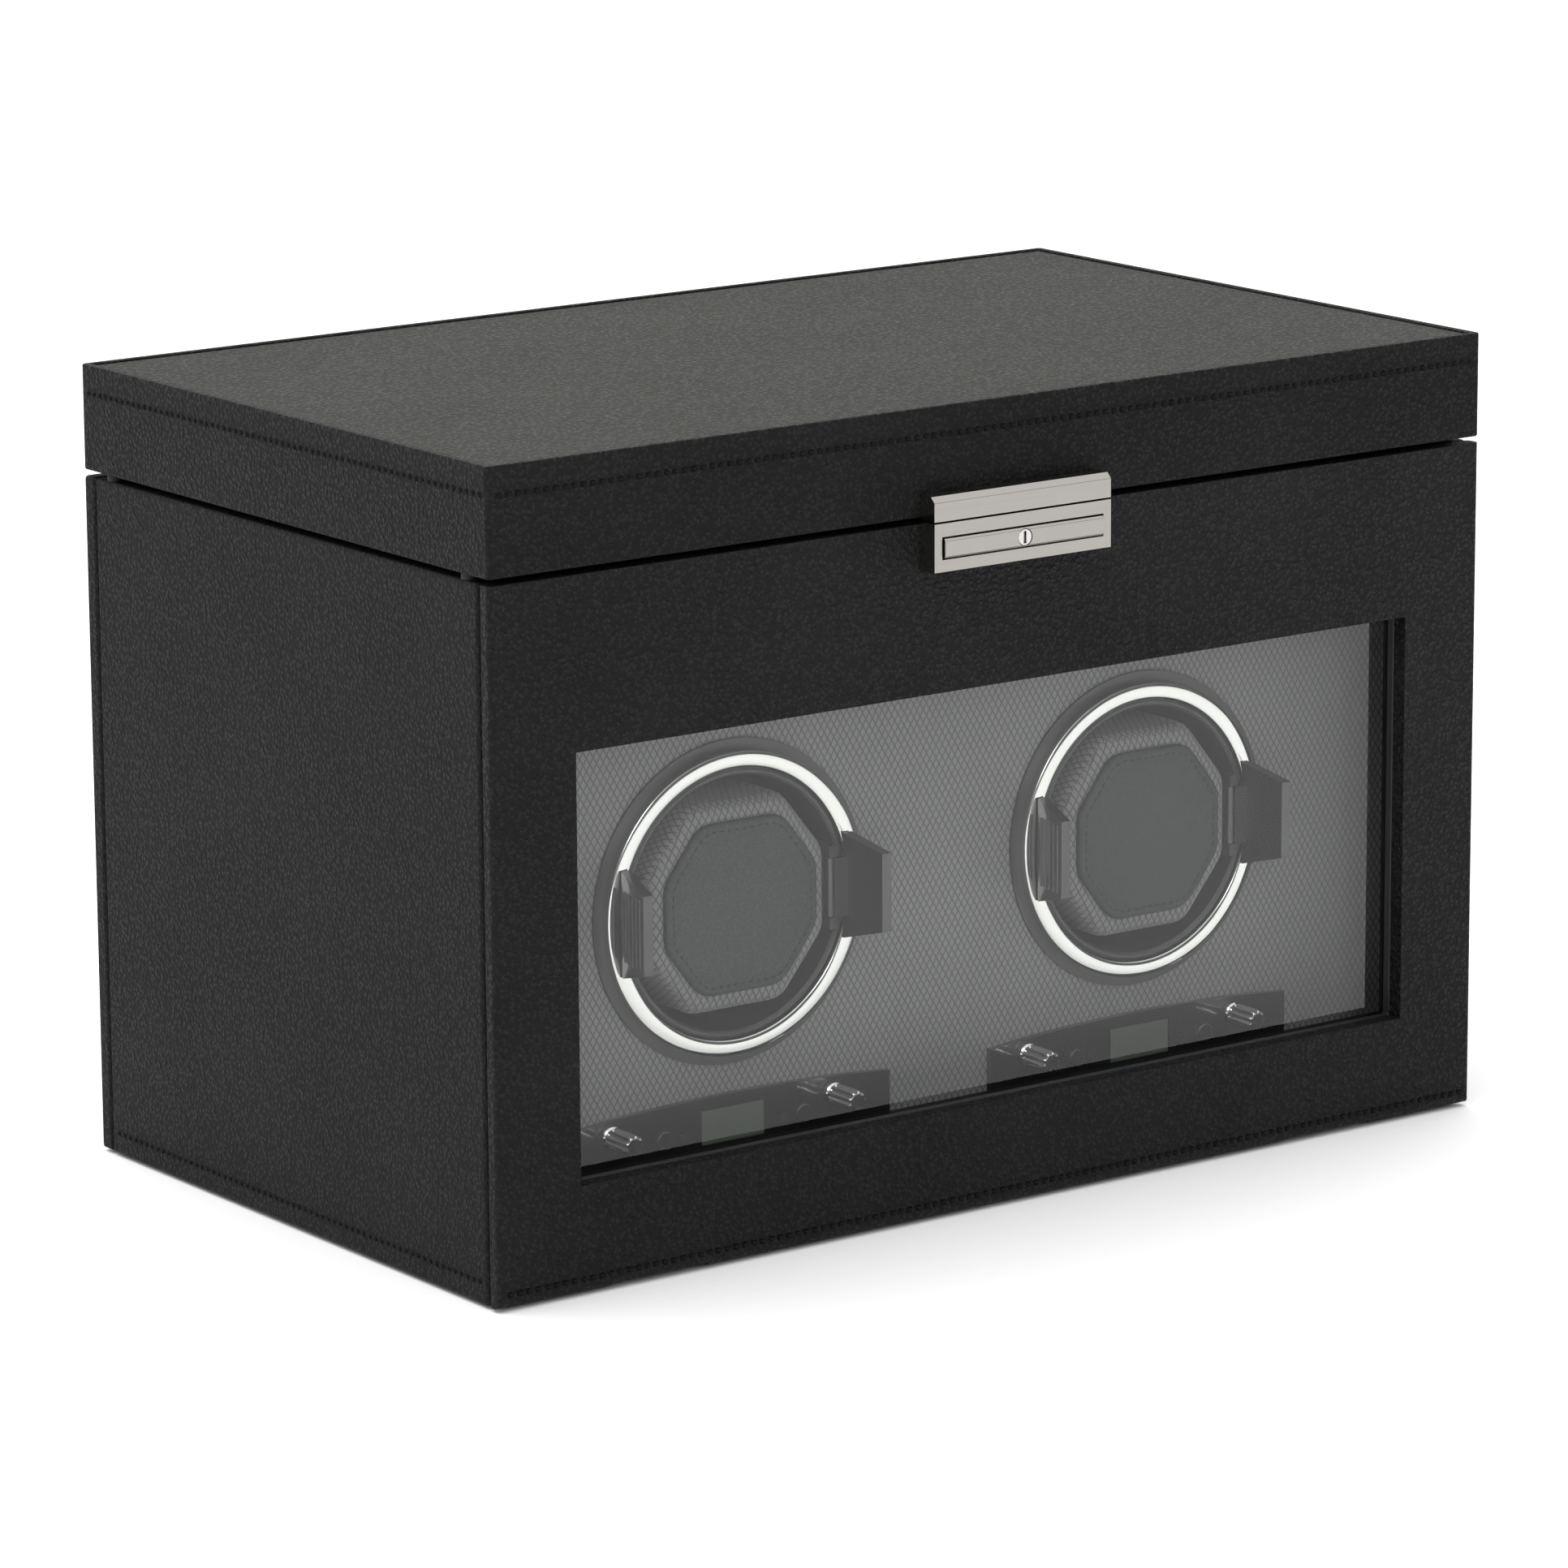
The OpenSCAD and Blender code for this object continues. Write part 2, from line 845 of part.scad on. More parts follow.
// Push button: cap in the panel's hole and a stem to the switch behind the fascia.
module button(side, x) {
    cap_front = panel_y - 1.15;
    cap_back = fascia_y - button_travel - 0.3;
    color([0.08, 0.08, 0.09])
    at_panel(side) translate([x, 0, control_z]) {
        rod_y(button_r, cap_front, cap_back);
        rod_y(stem_r - 0.2, cap_back - 1, fascia_back + 2 - button_travel);
    }
}

module left_button_a() {
    button(-1, -button_x);
}

module left_button_b() {
    button(-1, button_x);
}

module right_button_a() {
    button(1, -button_x);
}

module right_button_b() {
    button(1, button_x);
}

// ---------------------------------------------------------------- storage

module storage_tray() {
    tray_floor = shelf_top + tray_t;
    wall_top = body_top + tray_rise;
    divider_top = tray_floor + divider_h;
    cross_y = tray_y0 + tray_t + cell_d;
    color([0.30, 0.30, 0.31]) {
        block(-tray_x, tray_x, tray_y0, tray_y1, shelf_top, tray_floor);
        difference() {
            block(-tray_x, tray_x, tray_y0, tray_y1, shelf_top, wall_top);
            block(-tray_x + tray_t, tray_x - tray_t, tray_y0 + tray_t, tray_y1 - tray_t,
                  shelf_top - 1, wall_top + 1);
        }
        block(-tray_x, tray_x, cross_y, cross_y + tray_t, shelf_top, divider_top);
        for (side = [-1, 1]) {
            x = side * divider_x;
            block(x - tray_t / 2, x + tray_t / 2, tray_y0, cross_y + 1, shelf_top, divider_top);
        }
    }
}

module pillow(side) {
    corner = 11;
    color(weave_grey)
    translate([side * pillow_x, pillow_y, shelf_top + tray_t + pillow_size[2] / 2])
        slab_x(-pillow_size[0] / 2, pillow_size[0] / 2)
            soft_rect(pillow_size[1], pillow_size[2], corner);
}

module left_pillow() {
    pillow(-1);
}

module right_pillow() {
    pillow(1);
}

// ---------------------------------------------------------------- hinges

// The three stretches of a hinge of length len, as [start, end]: the outer two are fixed.
function stretches(len) = [
    [-len / 2, -len / 6 - knuckle_gap], [-len / 6, len / 6], [len / 6 + knuckle_gap, len / 2]
];

// Fixed leaves of the lid's hinges on the back board, and of the door's in the base board.
module case_hinge_leaves() {
    lid_len = lid_hinge_len;
    door_len = door_hinge_len;
    color(chrome)
    for (side = [-1, 1]) {
        translate([side * lid_hinge_x, 0, 0]) difference() {
            union() {
                block(-lid_len / 2, lid_len / 2, back, back + leaf_t,
                      lid_pivot_z - lid_leaf_h, lid_pivot_z - lid_barrel_r - 0.3);
                for (i = [0, 2]) {
                    s = stretches(lid_len)[i];
                    block(s[0], s[1], back, back + leaf_t,
                          lid_pivot_z - lid_barrel_r - 1, lid_pivot_z);
                    translate([0, lid_pivot_y, lid_pivot_z]) rod_x(lid_barrel_r, s[0], s[1]);
                }
            }
            translate([0, lid_pivot_y, lid_pivot_z])
                rod_x(lid_pin_r + shaft_play, -lid_len, lid_len);
        }
        translate([side * door_hinge_x, 0, 0]) difference() {
            union() {
                block(-door_len / 2, door_len / 2, case_front, case_front + case_leaf_len,
                      pivot_z - door_leaf_t, pivot_z);
                for (i = [0, 2]) {
                    s = stretches(door_len)[i];
                    block(s[0], s[1], pivot_y, case_front + 1, pivot_z - door_leaf_t, pivot_z);
                    translate([0, pivot_y, pivot_z]) rod_x(door_barrel_r, s[0], s[1]);
                }
            }
            translate([0, pivot_y, pivot_z])
                rod_x(door_pin_r + shaft_play, -door_len, door_len);
        }
    }
}

// A pin with a thin head at each end of its barrel.
module headed_pin(r, len, head_r) {
    rod_x(r, -len / 2 - pin_head_t, len / 2 + pin_head_t);
    for (x = [-len / 2 - pin_head_t, len / 2]) {
        rod_x(head_r, x, x + pin_head_t);
    }
}

module hinge_pins() {
    color([0.65, 0.65, 0.67])
    for (side = [-1, 1]) {
        translate([side * lid_hinge_x, lid_pivot_y, lid_pivot_z])
            headed_pin(lid_pin_r, lid_hinge_len, lid_pin_r + 0.6);
        translate([side * door_hinge_x, pivot_y, pivot_z])
            headed_pin(door_pin_r, door_hinge_len, door_pin_r + 0.5);
    }
}

module lid_hinge_leaves() {
    middle = stretches(lid_hinge_len)[1];
    color(chrome)
    for (side = [-1, 1]) {
        translate([side * lid_hinge_x, 0, 0]) difference() {
            union() {
                block(-lid_hinge_len / 2, lid_hinge_len / 2, back, back + leaf_t,
                      lid_pivot_z + lid_barrel_r + 0.4, lid_pivot_z + lid_leaf_h);
                block(middle[0], middle[1], back, back + leaf_t, lid_pivot_z + lid_gap / 2 + 0.1,
                      lid_pivot_z + lid_barrel_r + 1);
                block(middle[0], middle[1], back + 0.1, back + leaf_t, lid_pivot_z,
                      lid_pivot_z + lid_gap);
                translate([0, lid_pivot_y, lid_pivot_z]) rod_x(lid_barrel_r, middle[0], middle[1]);
            }
            translate([0, lid_pivot_y, lid_pivot_z])
                rod_x(lid_pin_r + shaft_play, -lid_hinge_len, lid_hinge_len);
        }
    }
}

module door_hinge_leaves() {
    middle = stretches(door_hinge_len)[1];
    color(chrome)
    for (side = [-1, 1]) {
        translate([side * door_hinge_x, 0, 0]) difference() {
            union() {
                block(-door_hinge_len / 2 + 1, door_hinge_len / 2 - 1, door_back - door_leaf_t,
                      door_back, pivot_z + door_barrel_r + 2, door_leaf_top);
                block(middle[0], middle[1], door_back - door_leaf_t, door_back,
                      pivot_z, pivot_z + door_barrel_r + 3);
                block(middle[0], middle[1], pivot_y, door_back, pivot_z, pivot_z + door_leaf_t);
                translate([0, pivot_y, pivot_z])
                    rod_x(door_barrel_r, middle[0], middle[1]);
            }
            translate([0, pivot_y, pivot_z])
                rod_x(door_pin_r + shaft_play, -door_hinge_len, door_hinge_len);
        }
    }
}

// ---------------------------------------------------------------- lid

module lid_rim() {
    color(leather)
    difference() {
        board(-half_w, half_w, front, back, lid_bottom, case_h, edge_r);
        block(-side_in, side_in, front + wall, back - wall, lid_bottom - 1, case_h + 1);
        block(-half_w + ridge_w, half_w - ridge_w, front + ridge_w, back - ridge_w,
              rim_ledge, case_h + 1);
    }
}

module lid_top() {
    color([0.10, 0.11, 0.10])
    block(-half_w + ridge_w + slip, half_w - ridge_w - slip, front + ridge_w + slip,
          back - ridge_w - slip, rim_ledge, case_h - ridge_rise);
}

module lid_lining() {
    color([0.30, 0.30, 0.31])
    block(-side_in + slip, side_in - slip, front + wall + slip, back - wall - slip,
          rim_ledge - lid_lining_t, rim_ledge);
}

// Plate on the lid's face, a foot under the rim, and the tongue that enters the lock.
module catch_plate() {
    chamfer = 1.6;
    foot_bottom = lid_bottom - 0.6;
    plate_top = catch_bottom + catch_h;
    color(chrome)
    difference() {
        union() {
            slab_x(-lock_w / 2, lock_w / 2) polygon([
                [front, catch_bottom], [lock_front, catch_bottom],
                [lock_front, plate_top - chamfer], [lock_front + chamfer, plate_top],
                [front, plate_top]
            ]);
            block(-tongue_x, tongue_x, front - 1.25, tongue_y + tongue_t, foot_bottom, lid_bottom);
            block(-tongue_x, tongue_x, tongue_y, tongue_y + tongue_t, tongue_bottom, lid_bottom);
        }
        block(1.5, tongue_x + 1, tongue_y - 1, tongue_y + tongue_t + 1,
              bolt_z - bolt_h / 2 - 0.6, bolt_z + bolt_h / 2 + 0.6);
    }
}

// ---------------------------------------------------------------- door

module door_board() {
    leaf_x = door_hinge_len / 2 - 1 + slip;
    hinge_x = door_hinge_len / 2 + pin_head_t + 0.5;
    color(leather)
    difference() {
        intersection() {
            union() {
                block(-half_w, half_w, front, door_back, pivot_z, body_top);
                translate([0, pivot_y, pivot_z]) rod_x(door_t / 2, -half_w, half_w);
            }
            board(-half_w, half_w, front, door_back, 0, body_top + 1, edge_r);
        }
        block(-window_x, window_x, front - 1, door_back + 1, window_z0, window_z1);
        block(-case_x, case_x, front - 1, door_back + 1, case_bottom, body_top + 1);
        for (side = [-1, 1]) {
            translate([side * door_hinge_x, 0, 0]) {
                translate([0, pivot_y, pivot_z]) rod_x(door_barrel_r + 0.25, -hinge_x, hinge_x);
                block(-hinge_x, hinge_x, pivot_y, door_back + 1, 0, pivot_z + door_barrel_r + 2);
                block(-hinge_x, hinge_x, front - 1, door_back + 1, 0, pivot_z - 1.7);
                block(-leaf_x, leaf_x, door_back - door_leaf_t, door_back + 1,
                      pivot_z, door_leaf_top + slip);
            }
        }
    }
}

// Black frame behind the board's window, rebated for the glass.
module door_frame() {
    hold = glass_margin + slip;
    color(satin_black)
    difference() {
        block(-window_x - frame_margin, window_x + frame_margin, door_back, frame_back,
              window_z0 - frame_margin, window_z1 + frame_margin);
        block(-window_x, window_x, door_back - 1, frame_back + 1, window_z0, window_z1);
        block(-window_x - hold, window_x + hold, glass_front, frame_back + 1,
              window_z0 - hold, window_z1 + hold);
    }
}

module door_glass() {
    color([0.75, 0.80, 0.80, 0.35])
    block(-window_x - glass_margin, window_x + glass_margin, glass_front, glass_front + glass_t,
          window_z0 - glass_margin, window_z1 + glass_margin);
}

// Plate with the push bar's recess in front, and the case behind it, let into the board.
module lock_body() {
    recess_x = bar_w / 2 + recess_gap;
    recess_z = bar_h / 2 + recess_gap;
    floor_y = lock_front + recess_depth;
    case_back = door_back - 0.2;
    color(chrome)
    difference() {
        union() {
            block(-lock_w / 2, lock_w / 2, lock_front, front, lock_bottom, lock_top);
            block(-case_x + slip / 2, case_x - slip / 2, front - 1, case_back,
                  case_bottom + slip / 2, body_top);
        }
        block(-recess_x, recess_x, lock_front - 1, floor_y, bar_z - recess_z, bar_z + recess_z);
        translate([0, 0, bar_z]) {
            rod_y(cylinder_r + shaft_play, floor_y - 1, front - 0.35);
            for (x = [-guide_x, guide_x]) {
                translate([x, 0, 0]) rod_y(guide_r + shaft_play, floor_y - 1, front - 0.25);
            }
        }
        block(-slot_x, slot_x, front + 0.65, case_back + 1, tongue_bottom - 0.8, lock_top + 1);
        block(slot_x - 1, case_x - 0.9, front + 0.75, case_back + 1,
              bolt_z - bolt_h / 2 - 0.2, bolt_z + bolt_h / 2 + 0.2);
    }
}

module push_bar() {
    bevel = 0.6;
    bar_back = bar_front + bar_t;
    color(chrome)
    difference() {
        union() {
            slab_x(-bar_w / 2, bar_w / 2) polygon([
                [bar_back, bar_z - bar_h / 2], [bar_back, bar_z + bar_h / 2],
                [bar_front + bevel, bar_z + bar_h / 2], [bar_front, bar_z + bar_h / 2 - bevel],
                [bar_front, bar_z - bar_h / 2 + bevel], [bar_front + bevel, bar_z - bar_h / 2]
            ]);
            for (x = [-guide_x, guide_x]) {
                translate([x, 0, bar_z]) rod_y(guide_r, bar_back - 1, front - 2);
            }
        }
        translate([0, 0, bar_z]) rod_y(cylinder_r + 0.15, bar_front - 1, bar_back + 1);
    }
}

module key_cylinder() {
    keyway = [0.9, 3.4];
    color([0.70, 0.70, 0.72])
    translate([0, 0, bar_z]) difference() {
        rod_y(cylinder_r, bar_front + 0.2, front - 0.55);
        block(-keyway[0] / 2, keyway[0] / 2, bar_front, bar_front + 2.2,
              -keyway[1] / 2, keyway[1] / 2);
    }
}

module lock_bolt() {
    color([0.65, 0.62, 0.50])
    block(slot_x + 0.5, slot_x + 6.5, front + 0.95, front + 2.95,
          bolt_z - bolt_h / 2, bolt_z + bolt_h / 2);
}

// ---------------------------------------------------------------- nodes

felt_base();
base_board();
left_side_panel();
right_side_panel();
back_panel();
shelf_board();
front_rail();
fascia_panel();
bay_lining();
bezel_rings();
winder_housings();
drive_motors();
drive_belts();
left_control_panel();
right_control_panel();
displays();
indicator_lights();
control_board();
dc_inlet();
storage_tray();
lid_bumpers();
case_hinge_leaves();
hinge_pins();
lid_rim();
lid_top();
lid_lining();
catch_plate();
lid_hinge_leaves();
door_board();
door_frame();
door_glass();
lock_body();
door_hinge_leaves();
push_bar();
key_cylinder();
lock_bolt();
left_drum();
right_drum();
left_motor_pulley();
right_motor_pulley();
left_cuff_core();
right_cuff_core();
left_cuff_cushion();
right_cuff_cushion();
left_cuff_pad();
right_cuff_pad();
left_cuff_tab_a();
left_cuff_tab_b();
right_cuff_tab_a();
right_cuff_tab_b();
left_knob_a();
left_knob_b();
right_knob_a();
right_knob_b();
left_button_a();
left_button_b();
right_button_a();
right_button_b();
left_pillow();
right_pillow();
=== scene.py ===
import json
import math

import bmesh
import bpy
from mathutils import Matrix, Vector


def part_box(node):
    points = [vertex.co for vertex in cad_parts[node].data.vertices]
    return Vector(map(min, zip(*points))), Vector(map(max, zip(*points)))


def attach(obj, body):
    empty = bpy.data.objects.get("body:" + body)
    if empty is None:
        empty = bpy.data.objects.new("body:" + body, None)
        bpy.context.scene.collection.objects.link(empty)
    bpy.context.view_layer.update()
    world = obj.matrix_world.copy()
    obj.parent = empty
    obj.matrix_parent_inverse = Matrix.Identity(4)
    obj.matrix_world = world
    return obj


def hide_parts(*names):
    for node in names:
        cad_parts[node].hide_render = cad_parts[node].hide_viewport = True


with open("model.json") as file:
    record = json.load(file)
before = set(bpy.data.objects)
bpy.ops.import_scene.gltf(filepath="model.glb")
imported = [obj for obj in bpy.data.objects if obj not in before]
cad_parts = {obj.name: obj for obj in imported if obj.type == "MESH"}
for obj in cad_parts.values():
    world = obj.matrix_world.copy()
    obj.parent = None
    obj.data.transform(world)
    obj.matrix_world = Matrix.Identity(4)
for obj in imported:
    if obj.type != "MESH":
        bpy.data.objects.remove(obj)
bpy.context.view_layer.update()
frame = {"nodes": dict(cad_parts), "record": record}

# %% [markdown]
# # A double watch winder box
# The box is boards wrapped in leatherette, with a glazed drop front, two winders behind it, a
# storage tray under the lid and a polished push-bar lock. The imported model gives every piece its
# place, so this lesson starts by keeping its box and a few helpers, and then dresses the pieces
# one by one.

MM = 0.001  # sizes of pieces are named in millimetres; camera, lights and floor are in metres
bodies = frame["record"]["behaviour"]["bodies"]
body_of_node = {node: body for body, nodes in bodies.items() for node in nodes}
scene = bpy.context.scene

# %% [markdown]
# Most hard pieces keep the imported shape, but real boards, mouldings and plated parts never have
# knife edges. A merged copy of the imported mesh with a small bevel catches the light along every
# edge, which a material alone can't do. Weighted normals keep the big faces flat, so only the
# bevel turns the light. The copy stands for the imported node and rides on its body.

# %% Helpers for finished pieces
def link(obj):
    scene.collection.objects.link(obj)
    return obj


def new_piece(name, mesh):
    return link(bpy.data.objects.new(name, mesh))


def applied(obj):
    """The object, with its modifiers made part of its mesh."""
    bpy.context.view_layer.update()
    graph = bpy.context.evaluated_depsgraph_get()
    mesh = bpy.data.meshes.new_from_object(obj.evaluated_get(graph), depsgraph=graph)
    obj.modifiers.clear()
    obj.data = mesh
    return obj


def shade(obj, degrees=35):
    """Smooth faces with edges kept sharp past an angle."""
    obj.data.polygons.foreach_set("use_smooth", [True] * len(obj.data.polygons))
    if degrees is not None:
        obj.data.set_sharp_from_angle(angle=math.radians(degrees))
    return obj


def dress(obj, finish, body, stands_for=()):
    """Gives a piece its finish, its body and the nodes it stands for."""
    obj.data.materials.clear()
    obj.data.materials.append(finish)
    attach(obj, body)
    if stands_for:
        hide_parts(*stands_for)
    return obj


MERGE_DISTANCE = 0.002
FLAT_ENOUGH = 0.5  # degrees between faces that are joined into one


def merged_copy(node, name):
    """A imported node's mesh as a new piece, with shared corners merged and flat faces joined."""
    mesh = frame["nodes"][node].data.copy()
    mesh.materials.clear()
    bm = bmesh.new()
    bm.from_mesh(mesh)
    bmesh.ops.remove_doubles(bm, verts=bm.verts, dist=MERGE_DISTANCE * MM)
    bmesh.ops.dissolve_limit(bm, angle_limit=math.radians(FLAT_ENOUGH), verts=bm.verts,
                             edges=bm.edges)
    bm.to_mesh(mesh)
    bm.free()
    return new_piece(name, mesh)


def round_top_corners(mesh, radius):
    """Rounds the two upper corners of a plate that faces front."""
    bm = bmesh.new()
    bm.from_mesh(mesh)
    xs = [v.co.x for v in bm.verts]
    top = max(v.co.z for v in bm.verts)
    left, right = min(xs), max(xs)
    near = 0.01 * MM
    corners = [e for e in bm.edges if all(
        abs(v.co.z - top) < near and min(v.co.x - left, right - v.co.x) < near
        for v in e.verts)]
    bmesh.ops.bevel(bm, geom=corners, offset=radius * MM, segments=10, profile=0.5,
                    affect="EDGES")
    bm.to_mesh(mesh)
    bm.free()


def softened(node, name, finish, width=0.4, segments=3, angle=35, top_corners=0):
    """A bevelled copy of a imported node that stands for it; width is in millimetres."""
    obj = merged_copy(node, name)
    if top_corners:
        round_top_corners(obj.data, top_corners)
    bevel = obj.modifiers.new("edge", "BEVEL")
    bevel.width = width * MM
    bevel.segments = segments
    bevel.limit_method = "ANGLE"
    bevel.angle_limit = math.radians(angle)
    bevel.use_clamp_overlap = True
    applied(obj)
    shade(obj, 40)
    flat_faces = obj.modifiers.new("flat faces", "WEIGHTED_NORMAL")
    flat_faces.mode = "FACE_AREA"
    flat_faces.weight = 100
    flat_faces.keep_sharp = True
    applied(obj)
    return dress(obj, finish, body_of_node[node], [node])


# %% [markdown]
# ## Camera, light and floor
# The camera is a long lens a couple of metres away, a little above the lid and to the left, which
# keeps the box's upright edges almost parallel. The studio is a tent: bright overhead, paler
# behind, and darker in front on the right, over a white floor. Grain on black leatherette shows
# only where the surroundings differ, so the tent isn't evenly white. Two soft lights help it.

# %% Camera
SENSOR_WIDTH = 36
LENS = 168.93
CAMERA_PLACE = Vector((-1.2369, -1.6847, 0.5838))
CAMERA_AIM = Vector((-0.00194, 0.0, 0.10397))
CAMERA_ROLL = math.radians(-0.337)
camera_data = bpy.data.cameras.new("camera")
camera_data.lens = LENS
camera_data.sensor_width = SENSOR_WIDTH
camera_data.clip_start = 0.05
camera_data.clip_end = 50
camera = link(bpy.data.objects.new("camera", camera_data))
look = (CAMERA_AIM - CAMERA_PLACE).to_track_quat("-Z", "Y").to_matrix().to_4x4()
roll = Matrix.Rotation(CAMERA_ROLL, 4, "Z")
camera.matrix_world = Matrix.Translation(CAMERA_PLACE) @ look @ roll
scene.camera = camera
scene.view_settings.view_transform = "Standard"
scene.view_settings.look = "None"
print("camera distance in metres", round((CAMERA_AIM - CAMERA_PLACE).length, 3))

# %% [markdown]
# The tent is a world whose brightness depends on where a ray points. Each part of it is a ramp on
# the angle to one direction, and the parts are added up.

# %% World
world = bpy.data.worlds.new("studio")
scene.world = world
world.use_nodes = True
backdrop = world.node_tree.nodes["Background"]
backdrop.inputs["Color"].default_value = (1.0, 1.0, 1.0, 1.0)
sky = world.node_tree
way = sky.nodes.new("ShaderNodeTexCoord").outputs["Generated"]


def sky_glow(direction, start, end, low, high):
    """Brightness that changes from low to high as a ray turns towards a direction."""
    turned = sky.nodes.new("ShaderNodeVectorMath")
    turned.operation = "DOT_PRODUCT"
    turned.inputs[1].default_value = direction
    sky.links.new(way, turned.inputs[0])
    ramp = sky.nodes.new("ShaderNodeMapRange")
    ramp.interpolation_type = "SMOOTHSTEP"
    for label, value in (("From Min", start), ("From Max", end), ("To Min", low),
                         ("To Max", high)):
        ramp.inputs[label].default_value = value
    sky.links.new(turned.outputs["Value"], ramp.inputs["Value"])
    return ramp.outputs["Result"]


def sky_sum(a, b):
    total = sky.nodes.new("ShaderNodeMath")
    sky.links.new(a, total.inputs[0])
    sky.links.new(b, total.inputs[1])
    return total.outputs[0]


overhead_tent = sky_glow((0.0, 0.0, 1.0), 0.2, 0.7, 0.0, 1.25)
back_wall = sky_glow((0.30, 0.95, 0.0), 0.0, 0.8, 0.0, 0.55)
room = sky_glow((0.75, -0.66, 0.0), 0.1, 0.9, 0.40, 0.06)
sky.links.new(sky_sum(sky_sum(overhead_tent, back_wall), room), backdrop.inputs["Strength"])

# %% [markdown]
# A white product table bounces a lot of light back at the object, so the floor is nearly white. It
# lies a hair under the box, so the two never share a face.

# %% Floor and lights
floor_mesh = bpy.data.meshes.new("floor")
FLOOR_HALF = 6.0
FLOOR_DROP = 0.0002
floor_mesh.from_pydata(
    [(-FLOOR_HALF, -FLOOR_HALF, 0), (FLOOR_HALF, -FLOOR_HALF, 0),
     (FLOOR_HALF, FLOOR_HALF, 0), (-FLOOR_HALF, FLOOR_HALF, 0)], [], [(0, 1, 2, 3)])
floor = new_piece("floor", floor_mesh)
floor.location.z = -FLOOR_DROP
floor_finish = bpy.data.materials.new("studio floor")
floor_finish.use_nodes = True
floor_shader = floor_finish.node_tree.nodes["Principled BSDF"]
floor_shader.inputs["Base Color"].default_value = (0.93, 0.93, 0.93, 1)
floor_shader.inputs["Roughness"].default_value = 0.9
floor_shader.inputs["Specular IOR Level"].default_value = 0.1
floor_mesh.materials.append(floor_finish)


def soft_light(name, place, aim, size, power):
    """A rectangular lamp; places and sizes are in metres, power in watts."""
    data = bpy.data.lights.new(name, "AREA")
    data.shape = "RECTANGLE"
    data.size, data.size_y = size
    data.energy = power
    lamp = link(bpy.data.objects.new(name, data))
    turn = (Vector(aim) - Vector(place)).to_track_quat("-Z", "Y").to_matrix().to_4x4()
    lamp.matrix_world = Matrix.Translation(Vector(place)) @ turn
    return lamp


BOX_MIDDLE = (0.0, 0.0, 0.11)
soft_light("overhead", (-0.5, 0.3, 1.9), BOX_MIDDLE, (1.6, 1.2), 12)
soft_light("front_fill", (-0.5, -2.2, 0.95), BOX_MIDDLE, (0.8, 0.6), 7)

# %% [markdown]
# ## Finishes
# Each finish is a node tree on Object coordinates, so its grain keeps its real size and stays on
# the piece when the piece moves. The helper below adds a node, sets its values and wires it up,
# which keeps each finish to a few readable lines.

# %% Node helper
def finish(name):
    """A new material, its node tree and its Principled shader."""
    mat = bpy.data.materials.new(name)
    mat.use_nodes = True
    tree = mat.node_tree
    shader = tree.nodes["Principled BSDF"]
    return mat, tree, shader


def node(tree, kind, inputs=None, **settings):
    """Adds a node; an input is given as a value or as the socket that feeds it."""
    made = tree.nodes.new(kind)
    for key, value in settings.items():
        setattr(made, key, value)
    for key, value in (inputs or {}).items():
        if isinstance(value, bpy.types.NodeSocket):
            tree.links.new(value, made.inputs[key])
        else:
            made.inputs[key].default_value = value
    return made


def place_of(tree):
    return node(tree, "ShaderNodeTexCoord").outputs["Object"]


def maths(tree, operation, a, b=0.0, clamp=False):
    return node(tree, "ShaderNodeMath", {0: a, 1: b}, operation=operation,
                use_clamp=clamp).outputs[0]


def between(tree, factor, low, high):
    """A factor from 0 to 1 turned into a value between low and high."""
    return node(tree, "ShaderNodeMapRange", {"Value": factor, "To Min": low,
                                             "To Max": high}).outputs["Result"]


def mixed_colour(tree, factor, dark, light):
    mix = node(tree, "ShaderNodeMix", data_type="RGBA")
    tree.links.new(factor, mix.inputs["Factor"])
    mix.inputs[6].default_value = (*dark, 1)
    mix.inputs[7].default_value = (*light, 1)
    return mix.outputs[2]


def bump(tree, height, distance, strength=1.0, under=None):
    inputs = {"Height": height, "Distance": distance, "Strength": strength}
    if under is not None:
        inputs["Normal"] = under
    return node(tree, "ShaderNodeBump", inputs).outputs["Normal"]


# %% [markdown]
# ### Leatherette
# The wrap is a coated cloth with an embossed pebble grain: rounded cells about a millimetre
# across, with fine pores between them and slow creases over the whole board. Two cell patterns and
# two noises build it. Its colour also holds painted highlights: the pebble tops and small glint dots
# are lighter, so the dips between cells read as painted shade. The front wrap is coarser than the
# sides, and the top is the smoothest.

# %% Leatherette
WANDER_SCALE = 260      # waviness of the cells' outlines, per metre
WANDER_PUSH = 0.0011    # how far an outline is pushed, in metres
CELL_SMOOTHNESS = 0.35
PORES_PER_CELL = 2.7
PORE_DEPTH = 0.35       # depths are shares of the grain's own depth
CREASE_SCALE = 55
CREASE_DEPTH = 0.9
SEAM_DEPTH = 0.9
SEAM_HALF_WIDTH = 0.9
MOTTLE_SCALE = 22


def seam_pull(tree, place, level):
    """How far a sewn seam at one height pulls the wrap in, from 0 to its depth."""
    split = node(tree, "ShaderNodeSeparateXYZ", {0: place})
    away = maths(tree, "ABSOLUTE", maths(tree, "SUBTRACT", split.outputs["Z"], level * MM))
    groove = maths(tree, "SUBTRACT", 1.0, maths(tree, "DIVIDE", away, SEAM_HALF_WIDTH * MM),
                   clamp=True)
    return maths(tree, "MULTIPLY", groove, SEAM_DEPTH)


